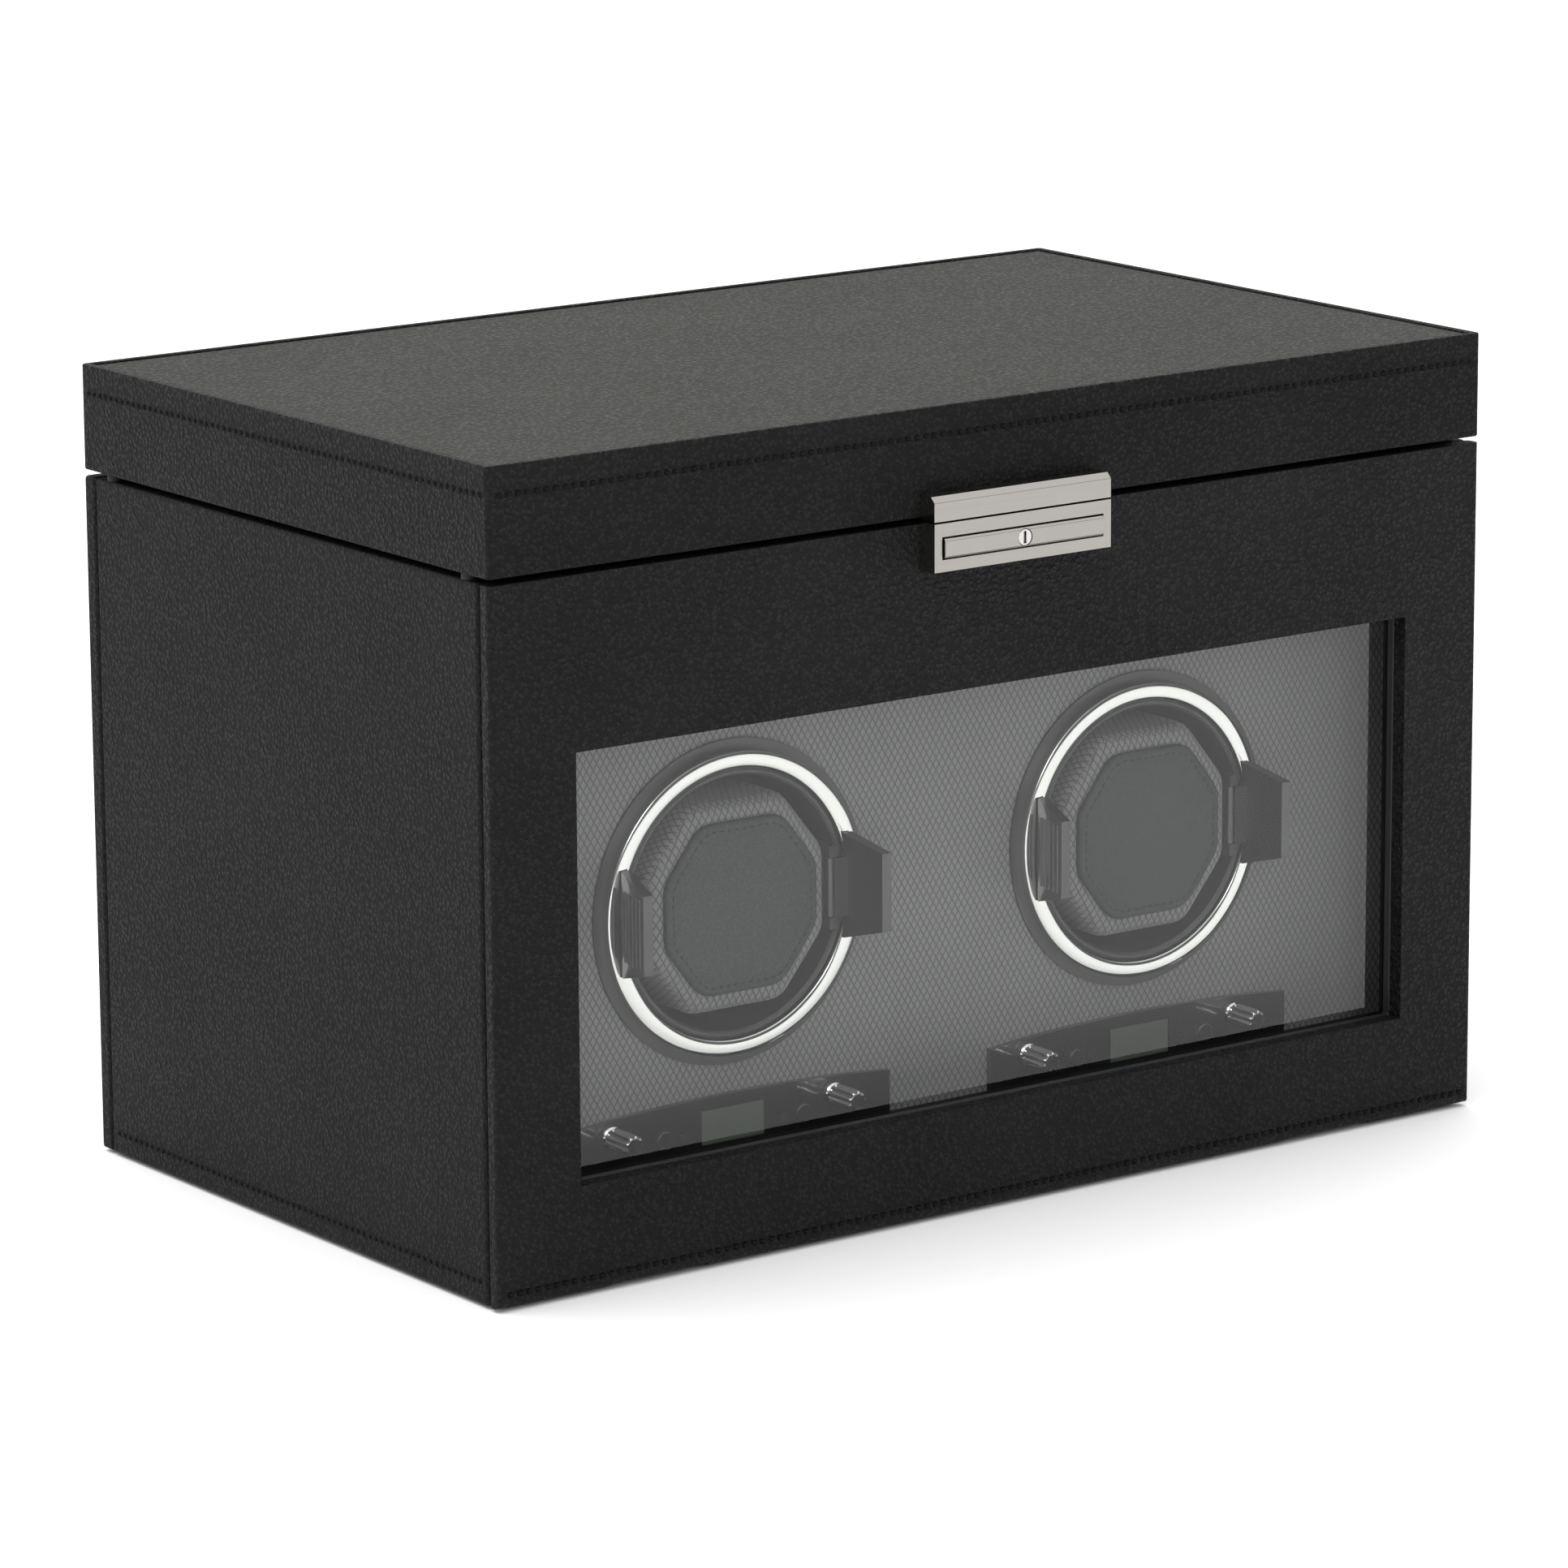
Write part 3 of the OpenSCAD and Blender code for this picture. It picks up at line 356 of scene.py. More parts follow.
def leatherette(name, cell, depth, dark, light, rough, seam_heights=(), specular=0.3,
                tint=(1, 1, 1)):
    """Grained wrap: cell and depth are the grain's size, seam_heights the rows sewn into it."""
    mat, tree, shader = finish(name)
    place = place_of(tree)
    wander = node(tree, "ShaderNodeTexNoise", {"Vector": place, "Scale": WANDER_SCALE,
                                               "Detail": 3})
    push = node(tree, "ShaderNodeVectorMath", {0: wander.outputs["Color"]}, operation="SCALE")
    push.inputs["Scale"].default_value = WANDER_PUSH
    moved = node(tree, "ShaderNodeVectorMath", {0: place, 1: push.outputs[0]},
                 operation="ADD").outputs[0]
    cells = node(tree, "ShaderNodeTexVoronoi", {"Vector": moved, "Scale": 1 / (cell * MM)},
                 feature="SMOOTH_F1")
    cells.inputs["Smoothness"].default_value = CELL_SMOOTHNESS
    pores = node(tree, "ShaderNodeTexVoronoi",
                 {"Vector": moved, "Scale": PORES_PER_CELL / (cell * MM)}, feature="F1")
    creases = node(tree, "ShaderNodeTexNoise", {"Vector": place, "Scale": CREASE_SCALE,
                                                "Detail": 6, "Roughness": 0.6})
    pebble = maths(tree, "SUBTRACT", 0.75, cells.outputs["Distance"])
    height = maths(tree, "ADD", pebble,
                   maths(tree, "MULTIPLY", pores.outputs["Distance"], -PORE_DEPTH))
    height = maths(tree, "ADD", height,
                   maths(tree, "MULTIPLY", creases.outputs["Fac"], CREASE_DEPTH))
    for level in seam_heights:
        height = maths(tree, "SUBTRACT", height, seam_pull(tree, place, level))
    tree.links.new(bump(tree, height, depth * MM), shader.inputs["Normal"])
    mottled = node(tree, "ShaderNodeTexNoise", {"Vector": place, "Scale": MOTTLE_SCALE,
                                                "Detail": 5})
    # Painted highlights: the raised pebble tops and small glint dots at the pore points are painted
    # lighter than the dips between cells, which read as painted shade. The slow patches are random
    # tone.
    tops = maths(tree, "MULTIPLY", maths(tree, "SUBTRACT", pebble, 0.22), 1.9, clamp=True)
    painted_glints = maths(tree, "SUBTRACT", 0.55, pores.outputs["Distance"], clamp=True)
    tone = maths(tree, "ADD", maths(tree, "MULTIPLY", tops, 0.6),
                 maths(tree, "MULTIPLY", painted_glints, 0.6))
    patches = maths(tree, "SUBTRACT", mottled.outputs["Fac"], 0.35)
    tone = maths(tree, "ADD", maths(tree, "MULTIPLY", tone, 0.8),
                 maths(tree, "MULTIPLY", patches, 0.5), clamp=True)
    tree.links.new(mixed_colour(tree, tone, dark, light), shader.inputs["Base Color"])
    tree.links.new(between(tree, tops, rough + 0.22, rough - 0.06), shader.inputs["Roughness"])
    shader.inputs["Specular IOR Level"].default_value = specular
    shader.inputs["Specular Tint"].default_value = (*tint, 1)
    return mat


LID_TOP_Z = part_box("lid_rim")[1].z / MM
LID_SEAM = LID_TOP_Z - 8  # heights of the sewn rows above the floor
FOOT_SEAM_FRONT = 4.8
FOOT_SEAM_SIDE = 7.0
# The four copies are one leatherette. Apart from grain size, each face gets its own colour: the
# top's is painted lighter as lit wrap, and the front's is painted darker as shaded wrap.
front_wrap = leatherette("leatherette front", 1.35, 0.85, (0.0006, 0.0006, 0.0006),
                         (0.0185, 0.018, 0.018), 0.40, (FOOT_SEAM_FRONT,), 0.2)
side_wrap = leatherette("leatherette sides", 1.3, 0.38, (0.003, 0.003, 0.003),
                        (0.0165, 0.0165, 0.0165), 0.48, (FOOT_SEAM_SIDE,), 0.17)
lid_wrap = leatherette("leatherette lid band", 1.3, 0.5, (0.001, 0.001, 0.001),
                       (0.016, 0.016, 0.016), 0.45, (LID_SEAM,), 0.18)
top_wrap = leatherette("leatherette top", 1.3, 0.42, (0.002, 0.0022, 0.002),
                       (0.024, 0.0245, 0.0215), 0.47, (), 0.26, (1.0, 1.0, 0.84))
pad_wrap = leatherette("cuff pad leatherette", 0.9, 0.06, (0.026, 0.030, 0.029),
                       (0.050, 0.057, 0.055), 0.5, (), 0.3)
print("leatherette finishes", len(bpy.data.materials) - 1)

# %% [markdown]
# ### Diamond weave
# The fascia, the cuffs and the pillows are covered in a grey cloth with a fine raised diamond
# pattern. Two families of slanting lines make the diamonds: each is the distance to the nearest
# line of a repeating ramp, and the smaller of the two is the thread's height. On the flat fascia the
# pattern reads the piece's own coordinates. On a cushion it reads a map that unrolls the cloth.

# %% Diamond weave
def diamond_weave(name, dark, light, width=2.25, height=3.65, wrap_attribute=False):
    """Grey cloth with raised diamonds of a width and height, flat or on a map named wrap."""
    mat, tree, shader = finish(name)
    if wrap_attribute:
        split = node(tree, "ShaderNodeSeparateXYZ",
                     {0: node(tree, "ShaderNodeUVMap", uv_map="wrap").outputs[0]})
        across, along = split.outputs["X"], split.outputs["Y"]
    else:
        split = node(tree, "ShaderNodeSeparateXYZ", {0: place_of(tree)})
        across, along = split.outputs["X"], split.outputs["Z"]
    u = maths(tree, "MULTIPLY", across, 1 / (width * MM))
    v = maths(tree, "MULTIPLY", along, 1 / (height * MM))
    ridges = []
    for slanted in (maths(tree, "ADD", u, v), maths(tree, "SUBTRACT", u, v)):
        ridges.append(maths(tree, "PINGPONG", slanted, 0.5))
    near_line = maths(tree, "MINIMUM", *ridges)
    raised = maths(tree, "MULTIPLY", near_line, 6.0, clamp=True)
    thread = node(tree, "ShaderNodeTexNoise", {"Vector": place_of(tree), "Scale": 2600,
                                               "Detail": 2})
    tone = maths(tree, "ADD", maths(tree, "MULTIPLY", raised, 0.9),
                 maths(tree, "MULTIPLY", thread.outputs["Fac"], 0.15), clamp=True)
    tree.links.new(mixed_colour(tree, tone, dark, light), shader.inputs["Base Color"])
    relief = maths(tree, "ADD", raised, maths(tree, "MULTIPLY", thread.outputs["Fac"], 0.2))
    tree.links.new(bump(tree, relief, 0.08 * MM), shader.inputs["Normal"])
    shader.inputs["Roughness"].default_value = 0.62
    shader.inputs["Sheen Weight"].default_value = 0.15
    shader.inputs["Specular IOR Level"].default_value = 0.25
    return mat


fascia_weave = diamond_weave("fascia weave", (0.040, 0.040, 0.042), (0.185, 0.185, 0.188))
cuff_weave = diamond_weave("cuff weave", (0.028, 0.028, 0.030), (0.180, 0.180, 0.183),
                           wrap_attribute=True)
print("weaves", fascia_weave.name, cuff_weave.name)

# %% [markdown]
# ### Metals and plastics
# Plated parts are fully metallic with a low roughness and a faint waviness, so their reflections
# aren't perfect. Moulded plastic gets patches in its gloss and, where it is matt, a fine grain.
# Gloss black plastic is a satin black under a clear coat, as a lacquered moulding is.

# %% Metals and plastics
def plated(name, colour, rough, brushed=0.0):
    """Metal plate; brushed adds unevenness to its roughness in fine lines."""
    mat, tree, shader = finish(name)
    place = place_of(tree)
    waves = node(tree, "ShaderNodeTexNoise", {"Vector": place, "Scale": 70, "Detail": 2})
    stretched = node(tree, "ShaderNodeMapping", {"Vector": place, "Scale": (40, 2500, 2500)})
    lines = node(tree, "ShaderNodeTexNoise", {"Vector": stretched.outputs[0], "Scale": 1,
                                              "Detail": 3})
    tree.links.new(between(tree, lines.outputs["Fac"], rough, rough + 0.08 + brushed),
                   shader.inputs["Roughness"])
    tree.links.new(bump(tree, waves.outputs["Fac"], 0.05 * MM), shader.inputs["Normal"])
    shader.inputs["Base Color"].default_value = (*colour, 1)
    shader.inputs["Metallic"].default_value = 1.0
    return mat


def moulded(name, colour, rough, coat=0.0, specular=0.5):
    """Plastic, rubber or paint, with an optional clear coat."""
    mat, tree, shader = finish(name)
    place = place_of(tree)
    grain = node(tree, "ShaderNodeTexNoise", {"Vector": place, "Scale": 1400, "Detail": 2})
    patches = node(tree, "ShaderNodeTexNoise", {"Vector": place, "Scale": 40, "Detail": 3})
    lighter = tuple(min(1.0, c * 1.35 + 0.002) for c in colour)
    tree.links.new(mixed_colour(tree, patches.outputs["Fac"], colour, lighter),
                   shader.inputs["Base Color"])
    tree.links.new(between(tree, patches.outputs["Fac"], rough, rough + 0.06),
                   shader.inputs["Roughness"])
    if rough > 0.2 and coat == 0:
        tree.links.new(bump(tree, grain.outputs["Fac"], 0.03 * MM * rough),
                       shader.inputs["Normal"])
    else:
        tree.links.new(bump(tree, patches.outputs["Fac"], 0.05 * MM), shader.inputs["Normal"])
    shader.inputs["Coat Weight"].default_value = coat
    shader.inputs["Specular IOR Level"].default_value = specular
    return mat


chrome = plated("polished plate", (0.68, 0.68, 0.665), 0.05)
lock_plate = plated("lock plate", (0.335, 0.322, 0.300), 0.13, 0.10)
lock_core = plated("lock cylinder plate", (0.55, 0.54, 0.52), 0.06)
steel = plated("hinge steel", (0.34, 0.34, 0.345), 0.30, 0.12)
brass = plated("bolt brass", (0.70, 0.56, 0.30), 0.25)
satin_black = moulded("satin black plastic", (0.014, 0.014, 0.015), 0.38)
deep_black = moulded("bay black", (0.006, 0.006, 0.006), 0.6, specular=0.2)
gloss_black = moulded("gloss black plastic", (0.006, 0.006, 0.007), 0.28, coat=1.0,
                      specular=0.25)
rubber = moulded("rubber", (0.015, 0.015, 0.015), 0.75, specular=0.3)
black_board = moulded("stained board", (0.014, 0.013, 0.012), 0.6)
circuit = moulded("circuit board green", (0.010, 0.075, 0.030), 0.3)
display_glass = moulded("display", (0.075, 0.088, 0.070), 0.12)
unlit_lamp = moulded("unlit lamp", (0.045, 0.020, 0.018), 0.08, coat=0.5)
thread = moulded("black thread", (0.002, 0.002, 0.002), 0.7, specular=0.15)
pad_thread = moulded("dark green thread", (0.008, 0.014, 0.014), 0.6)

print("materials so far", len(bpy.data.materials))

# %% [markdown]
# ### Felt
# The tray and the lid are lined with a short grey nap, and the base stands on black felt. Fine noise
# makes the fibres, slow noise the patches that a hand leaves in a nap, and sheen the pale edge that
# fibres give at a grazing angle.

# %% Felt lining
def felt(name, dark, light):
    mat, tree, shader = finish(name)
    place = place_of(tree)
    fibres = node(tree, "ShaderNodeTexNoise", {"Vector": place, "Scale": 1800, "Detail": 5})
    nap = node(tree, "ShaderNodeTexNoise", {"Vector": place, "Scale": 45, "Detail": 4})
    tone = maths(tree, "ADD", maths(tree, "MULTIPLY", fibres.outputs["Fac"], 0.6),
                 maths(tree, "MULTIPLY", nap.outputs["Fac"], 0.4), clamp=True)
    tree.links.new(mixed_colour(tree, tone, dark, light), shader.inputs["Base Color"])
    tree.links.new(bump(tree, fibres.outputs["Fac"], 0.12 * MM), shader.inputs["Normal"])
    shader.inputs["Roughness"].default_value = 0.95
    shader.inputs["Sheen Weight"].default_value = 0.35
    shader.inputs["Specular IOR Level"].default_value = 0.1
    return mat


lining_felt = felt("lining suede", (0.055, 0.055, 0.058), (0.12, 0.12, 0.125))
base_felt = felt("base felt", (0.008, 0.008, 0.008), (0.025, 0.025, 0.025))

print("felts", lining_felt.name, base_felt.name)

# %% [markdown]
# ### Window glass
# The window is thin glass: what lies behind it shows straight through, and the Fresnel share of a
# mirror lies over it, which is the grey veil that a pane in a bright room has. Only the face that a
# ray enters by mirrors, because a ray that goes straight on inside would meet the far face at an
# angle where it mirrors far too much.

# %% Window glass
VEIL = 1.05  # share of the clean glass's mirror


def window_glass():
    mat, tree, shader = finish("window glass")
    out = tree.nodes["Material Output"]
    tree.nodes.remove(shader)
    clear = node(tree, "ShaderNodeBsdfTransparent", {"Color": (0.97, 0.975, 0.97, 1)})
    mirror = node(tree, "ShaderNodeBsdfGlossy", {"Color": (1, 1, 1, 1), "Roughness": 0.03})
    fresnel = node(tree, "ShaderNodeFresnel", {"IOR": 1.5})
    outer_face = maths(tree, "SUBTRACT", 1.0,
                       node(tree, "ShaderNodeNewGeometry").outputs["Backfacing"])
    share = maths(tree, "MULTIPLY", maths(tree, "MULTIPLY", fresnel.outputs[0], outer_face),
                  VEIL, clamp=True)
    mix = node(tree, "ShaderNodeMixShader", {0: share, 1: clear.outputs[0],
                                             2: mirror.outputs[0]})
    tree.links.new(mix.outputs[0], out.inputs["Surface"])
    return mat


glass = window_glass()
print("glass veil", VEIL)

# %% [markdown]
# ## Wrapped boards
# The case, the door and the lid are boards with the wrap turned over their edges, so every outer
# edge is round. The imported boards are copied, merged and bevelled by about a millimetre.

# %% Wrapped boards
EDGE = 1.1
for packed, piece, wrap, edge, segments in (
        ("left_side_panel", "left_side_board", side_wrap, EDGE, 4),
        ("right_side_panel", "right_side_board", side_wrap, EDGE, 4),
        ("back_panel", "back_board", side_wrap, EDGE, 4),
        ("front_rail", "front_rail_board", front_wrap, 0.8, 3),
        ("door_board", "door_front_board", front_wrap, 0.8, 4),
        ("lid_rim", "lid_band", lid_wrap, 1.0, 4),
        ("lid_top", "lid_top_panel", top_wrap, 1.0, 4)):
    board = softened(packed, piece, wrap, edge, segments)
    print(board.name, len(board.data.polygons), "faces")

# %% [markdown]
# ## Window, bay and fixed fittings
# Behind the board's opening come the black frame, the pane, and the lined bay with its fascia.
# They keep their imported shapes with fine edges.

# %% Window and bay
softened("door_frame", "window_frame", satin_black, 0.5)
softened("door_glass", "window_pane", glass, 0.3, 2)
softened("fascia_panel", "winder_fascia", fascia_weave, 0.3, 2)
softened("bay_lining", "bay_liner", deep_black, 0.4, 2)
softened("shelf_board", "shelf", black_board, 0.5, 2)
softened("base_board", "base", black_board, 0.5, 2)
softened("felt_base", "felt_sheet", base_felt, 0.25, 2)
softened("storage_tray", "tray", lining_felt, 0.5, 3)
softened("lid_lining", "lid_liner", lining_felt, 1.6, 4)
print("window, bay and storage pieces 9")

# %% [markdown]
# ## Lock and hinges
# The lock's plates are die-cast and polished, so their edges are crisp with a thin bright line. The
# hinges are folded from brushed steel strip with a finer edge still, and the bolt is plain brass.

# %% Lock and hinges
softened("catch_plate", "lock_catch", lock_plate, 0.3, 3)
softened("lock_body", "lock_plate_body", lock_plate, 0.3, 3)
softened("push_bar", "lock_push_bar", lock_plate, 0.2, 2)
softened("key_cylinder", "lock_cylinder", lock_core, 0.2, 3)
softened("lock_bolt", "bolt", brass, 0.3, 2)
softened("lid_hinge_leaves", "lid_hinge_moving_leaves", steel, 0.2, 2, 50)
softened("case_hinge_leaves", "hinge_fixed_leaves", steel, 0.2, 2, 50)
softened("door_hinge_leaves", "door_hinge_moving_leaves", steel, 0.15, 2, 50)
softened("hinge_pins", "hinge_pin_set", steel, 0.12, 2, 50)
print("lock and hinge pieces 9")

# %% [markdown]
# ## Drive and electrics
# Motors, belts, pulleys and the circuit board hide behind the fascia, and the small lamps and
# displays are already the right shape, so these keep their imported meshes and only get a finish.

# %% Drive and electrics
kept_finishes = {
    "winder_housings": satin_black, "drive_motors": steel, "drive_belts": rubber,
    "control_board": circuit, "lid_bumpers": rubber, "dc_inlet": satin_black,
    "indicator_lights": unlit_lamp, "displays": display_glass,
    "left_motor_pulley": steel, "right_motor_pulley": steel,
}
for name, mat in kept_finishes.items():
    for one_slot in frame["nodes"][name].material_slots:
        one_slot.material = mat
print("kept nodes", len(kept_finishes))

# %% [markdown]
# ## Control strips
# Under each winder stands a gloss black strip with its two upper corners rounded. Its round buttons
# are separate caps that stand a little proud, so that a finger finds them.

# %% Control panels and buttons
STRIP_CORNER = 4
for side in ("left", "right"):
    softened(f"{side}_control_panel", f"{side}_control_strip", gloss_black, 0.45,
             3, top_corners=STRIP_CORNER)
    for mark in ("a", "b"):
        softened(f"{side}_button_{mark}", f"{side}_push_button_{mark}", gloss_black,
                 0.5, 3)
print("strips 2, buttons 4")

# %% [markdown]
# ## Turned parts
# Rings, drums and knobs are turned on a lathe or moulded round, so they are made by turning a
# profile round the winder's axis, which keeps them smooth at any distance. The bright ring has a
# low dome rather than a half round: most of it faces front and mirrors the white floor, and its
# shoulders mirror the dark, which gives a broad bright band between two thin dark lines.

# %% Turning a profile
def turned(name, profile, centre, closed=True, segments=128, lobes=0, lobe_depth=0.0):
    """Turns (radius, y) points round a line along Y through centre. A third value from 0 to 1 is
    how much of the flutes a point gets."""
    mesh = bpy.data.meshes.new(name)
    verts, faces = [], []
    rows = len(profile)
    for i in range(segments):
        angle = 2 * math.pi * i / segments
        for radius, y, flute in [(p + (0.0,))[:3] for p in profile]:
            ripple = 1 - flute * lobe_depth * (0.5 - 0.5 * math.cos(lobes * angle))
            r = radius * ripple
            verts.append((centre[0] + r * math.cos(angle) * MM, y * MM,
                          centre[2] + r * math.sin(angle) * MM))
    last = rows if closed else rows - 1
    for i in range(segments):
        for j in range(last):
            a = i * rows + j
            b = i * rows + (j + 1) % rows
            c = ((i + 1) % segments) * rows + (j + 1) % rows
            d = ((i + 1) % segments) * rows + j
            faces.append((a, b, c, d))
    mesh.from_pydata(verts, [], faces)
    bm = bmesh.new()
    bm.from_mesh(mesh)
    bmesh.ops.remove_doubles(bm, verts=bm.verts, dist=0.001 * MM)
    bmesh.ops.dissolve_degenerate(bm, edges=bm.edges, dist=0.0005 * MM)
    bmesh.ops.recalc_face_normals(bm, faces=bm.faces)
    bm.to_mesh(mesh)
    bm.free()
    return new_piece(name, mesh)


def arc(cx, cy, radius, start, end, steps):
    """Points of a round stretch, in degrees, for a profile."""
    return [(cx + radius * math.cos(math.radians(start + (end - start) * k / steps)),
             cy + radius * math.sin(math.radians(start + (end - start) * k / steps)))
            for k in range(steps + 1)]


# %% [markdown]
# ### Bezel rings
# The ring trims the hole in the fascia. Its section is a flat back, a short outer wall and the dome.

# %% Bezel rings
ring_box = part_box("bezel_rings")
drum_boxes = {side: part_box(f"{side}_drum") for side in ("left", "right")}
winder_axis = {side: (low + high) / 2 for side, (low, high) in drum_boxes.items()}
ring_out = (ring_box[1].z - ring_box[0].z) / 2 / MM
RING_WIDTH = 4.5
ring_in = ring_out - RING_WIDTH
ring_front = ring_box[0].y / MM
ring_back = ring_box[1].y / MM
ring_mid = (ring_out + ring_in) / 2
DOME = 0.55
dome = [(x, ring_front + DOME * (1 + (y - ring_front) / RING_WIDTH * 2))
        for x, y in arc(ring_mid, ring_front, RING_WIDTH / 2, 0, -180, 24)]
ring_profile = [(ring_out, ring_back)] + dome + [(ring_in, ring_back)]
rings = []
for side in ("left", "right"):
    ring = turned(f"{side}_bezel", ring_profile, winder_axis[side], segments=192)
    rings.append(shade(ring, 50))
for ring in rings:
    dress(ring, chrome, "case")
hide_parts("bezel_rings")
print("ring radii", ring_in, ring_out)

# %% [markdown]
# ### Drum cups
# A drum is a moulded cup that turns in the fascia's hole. Behind its floor it narrows to a spindle,
# and the spindle ends in a grooved pulley for the belt. Cup, spindle and pulley are one moulding,
# so one profile draws them, from the lip inwards, down the spindle and back along the outside.

# %% Drums
CUP_DEPTH = 61.5
CUP_WALL = 2.0
CUP_FLOOR = 3.0
LIP = 0.7           # chamfer at the outside of the lip
LIP_IN = 0.6        # chamfer at its inside
SPINDLE_R = 4.0
PULLEY_R = 14.0
GROOVE_R = 12.6
FLANGE = 1.0        # thickness of the pulley's two flanges
PULLEY_FROM_END = 0.8
GROOVE_WIDTH = 4.0
for side in ("left", "right"):
    low, high = drum_boxes[side]
    axis = winder_axis[side]
    outer = (high.z - low.z) / 2 / MM
    inner = outer - CUP_WALL
    lip = low.y / MM
    back = lip + CUP_DEPTH
    cup_floor = back - CUP_FLOOR
    end = high.y / MM
    flange_1 = end - PULLEY_FROM_END
    groove_1 = flange_1 - FLANGE
    groove_0 = groove_1 - GROOVE_WIDTH
    flange_0 = groove_0 - FLANGE
    profile = [
        (outer, lip + LIP), (outer - LIP, lip), (inner + LIP_IN, lip), (inner, lip + LIP_IN),
        (inner, cup_floor - 1.5), (inner - 1.5, cup_floor), (0.01, cup_floor), (0.01, end),
        (SPINDLE_R - 0.4, end), (SPINDLE_R, end - 0.4), (SPINDLE_R, flange_1),
        (PULLEY_R, flange_1), (PULLEY_R, groove_1), (GROOVE_R, groove_1), (GROOVE_R, groove_0),
        (PULLEY_R, groove_0), (PULLEY_R, flange_0), (SPINDLE_R, flange_0), (SPINDLE_R, back),
        (outer - 1, back), (outer, back - 1),
    ]
    cup = shade(turned(f"{side}_drum_cup", profile, axis, segments=128), 40)
    dress(cup, satin_black, f"{side}_drum_body", [f"{side}_drum"])
    print(cup.name, len(cup.data.polygons), "faces")

# %% [markdown]
# ### Selector knobs
# Each knob is a plated barrel with flutes, a dished end and a collar. One turned profile does it:
# the radius ripples round the barrel, and the ripple fades out at the end and at the collar.

# %% Knobs
BARREL_AND_COLLAR = 12.5
FLUTES = 9
FLUTE_DEPTH = 0.26     # share of the radius
FLUTE_END = 2.8        # where the flutes start to fade, from the root
NECK_FRONT = 2.3       # the neck between barrel and collar, from the root
NECK_BACK = 1.9
COLLAR_FRONT = 1.6
NECK_IN = 0.5
STEM_R = 1.5
for side in ("left", "right"):
    for mark in ("a", "b"):
        low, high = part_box(f"{side}_knob_{mark}")
        axis = (low + high) / 2
        r = (high.z - low.z) / 2 / MM
        tip = low.y / MM
        root = tip + BARREL_AND_COLLAR
        stem_end = high.y / MM
        profile = [(0.01, tip + 0.25, 0.0), (1.6, tip + 0.2, 0.0), (r - 0.9, tip, 0.0),
                   (r - 0.5, tip + 0.1, 0.5), (r - 0.1, tip + 0.5, 0.9), (r, tip + 1.2, 1.0),
                   (r, root - FLUTE_END, 1.0), (r - 0.15, root - 2.5, 0.3),
                   (r - NECK_IN, root - NECK_FRONT, 0.0), (r - NECK_IN, root - NECK_BACK, 0.0),
                   (r, root - COLLAR_FRONT, 0.0), (r, root - 0.2, 0.0), (r - 0.3, root, 0.0),
                   (STEM_R, root, 0.0), (STEM_R, stem_end, 0.0), (0.01, stem_end, 0.0)]
        knob = turned(f"{side}_selector_{mark}", profile, axis, closed=False, segments=144,
                      lobes=FLUTES, lobe_depth=FLUTE_DEPTH)
        dress(shade(knob, 45), chrome, f"{side}_knob_{mark}_body",
              [f"{side}_knob_{mark}"])
        print(knob.name, "radius", round(r, 2))

# %% [markdown]
# ## Cuffs
# A cuff is what a watch is strapped round: a sprung black frame, a foam sleeve in grey weave, and a
# leatherette pad stitched onto its front. The sleeve is an eight-sided ring with soft corners. Its
# section is lofted from front to back: the front edge rolls over, and the back edge turns in.

# %% Outline helpers
def round_outline(half_w, half_h, top, side, radius, steps=6):
    """An eight-sided outline with round corners, as (x, z) points in millimetres."""
    corners = [(top, half_h), (half_w, side), (half_w, -side), (top, -half_h),
               (-top, -half_h), (-half_w, -side), (-half_w, side), (-top, half_h)]
    points = []
    for k, corner in enumerate(corners):
        here = Vector(corner)
        before = (Vector(corners[k - 1]) - here).normalized()
        after = (Vector(corners[(k + 1) % 8]) - here).normalized()
        half = before.angle(after) / 2
        reach = radius / math.tan(half)
        centre = here + (before + after).normalized() * radius / math.sin(half)
        start = here + before * reach - centre
        end = here + after * reach - centre
        turn = start.angle_signed(end)
        for s in range(steps + 1):
            a = -turn * s / steps
            point = Matrix.Rotation(a, 2) @ start + centre
            points.append((point.x, point.y))
    return points


def evened(points, count):
    """The closed outline again, with equally spaced points."""
    closed = points + [points[0]]
    lengths = [math.dist(closed[k], closed[k + 1]) for k in range(len(points))]
    total = sum(lengths)
    result, k, walked = [], 0, 0.0
    for n in range(count):
        target = total * n / count
        while walked + lengths[k] < target:
            walked += lengths[k]
            k += 1
        t = (target - walked) / lengths[k]
        a, b = closed[k], closed[k + 1]
        result.append((a[0] + (b[0] - a[0]) * t, a[1] + (b[1] - a[1]) * t))
    return result, total


FRONT_FACING = 0.75  # share of a face's normal along Y that makes it part of the flat front


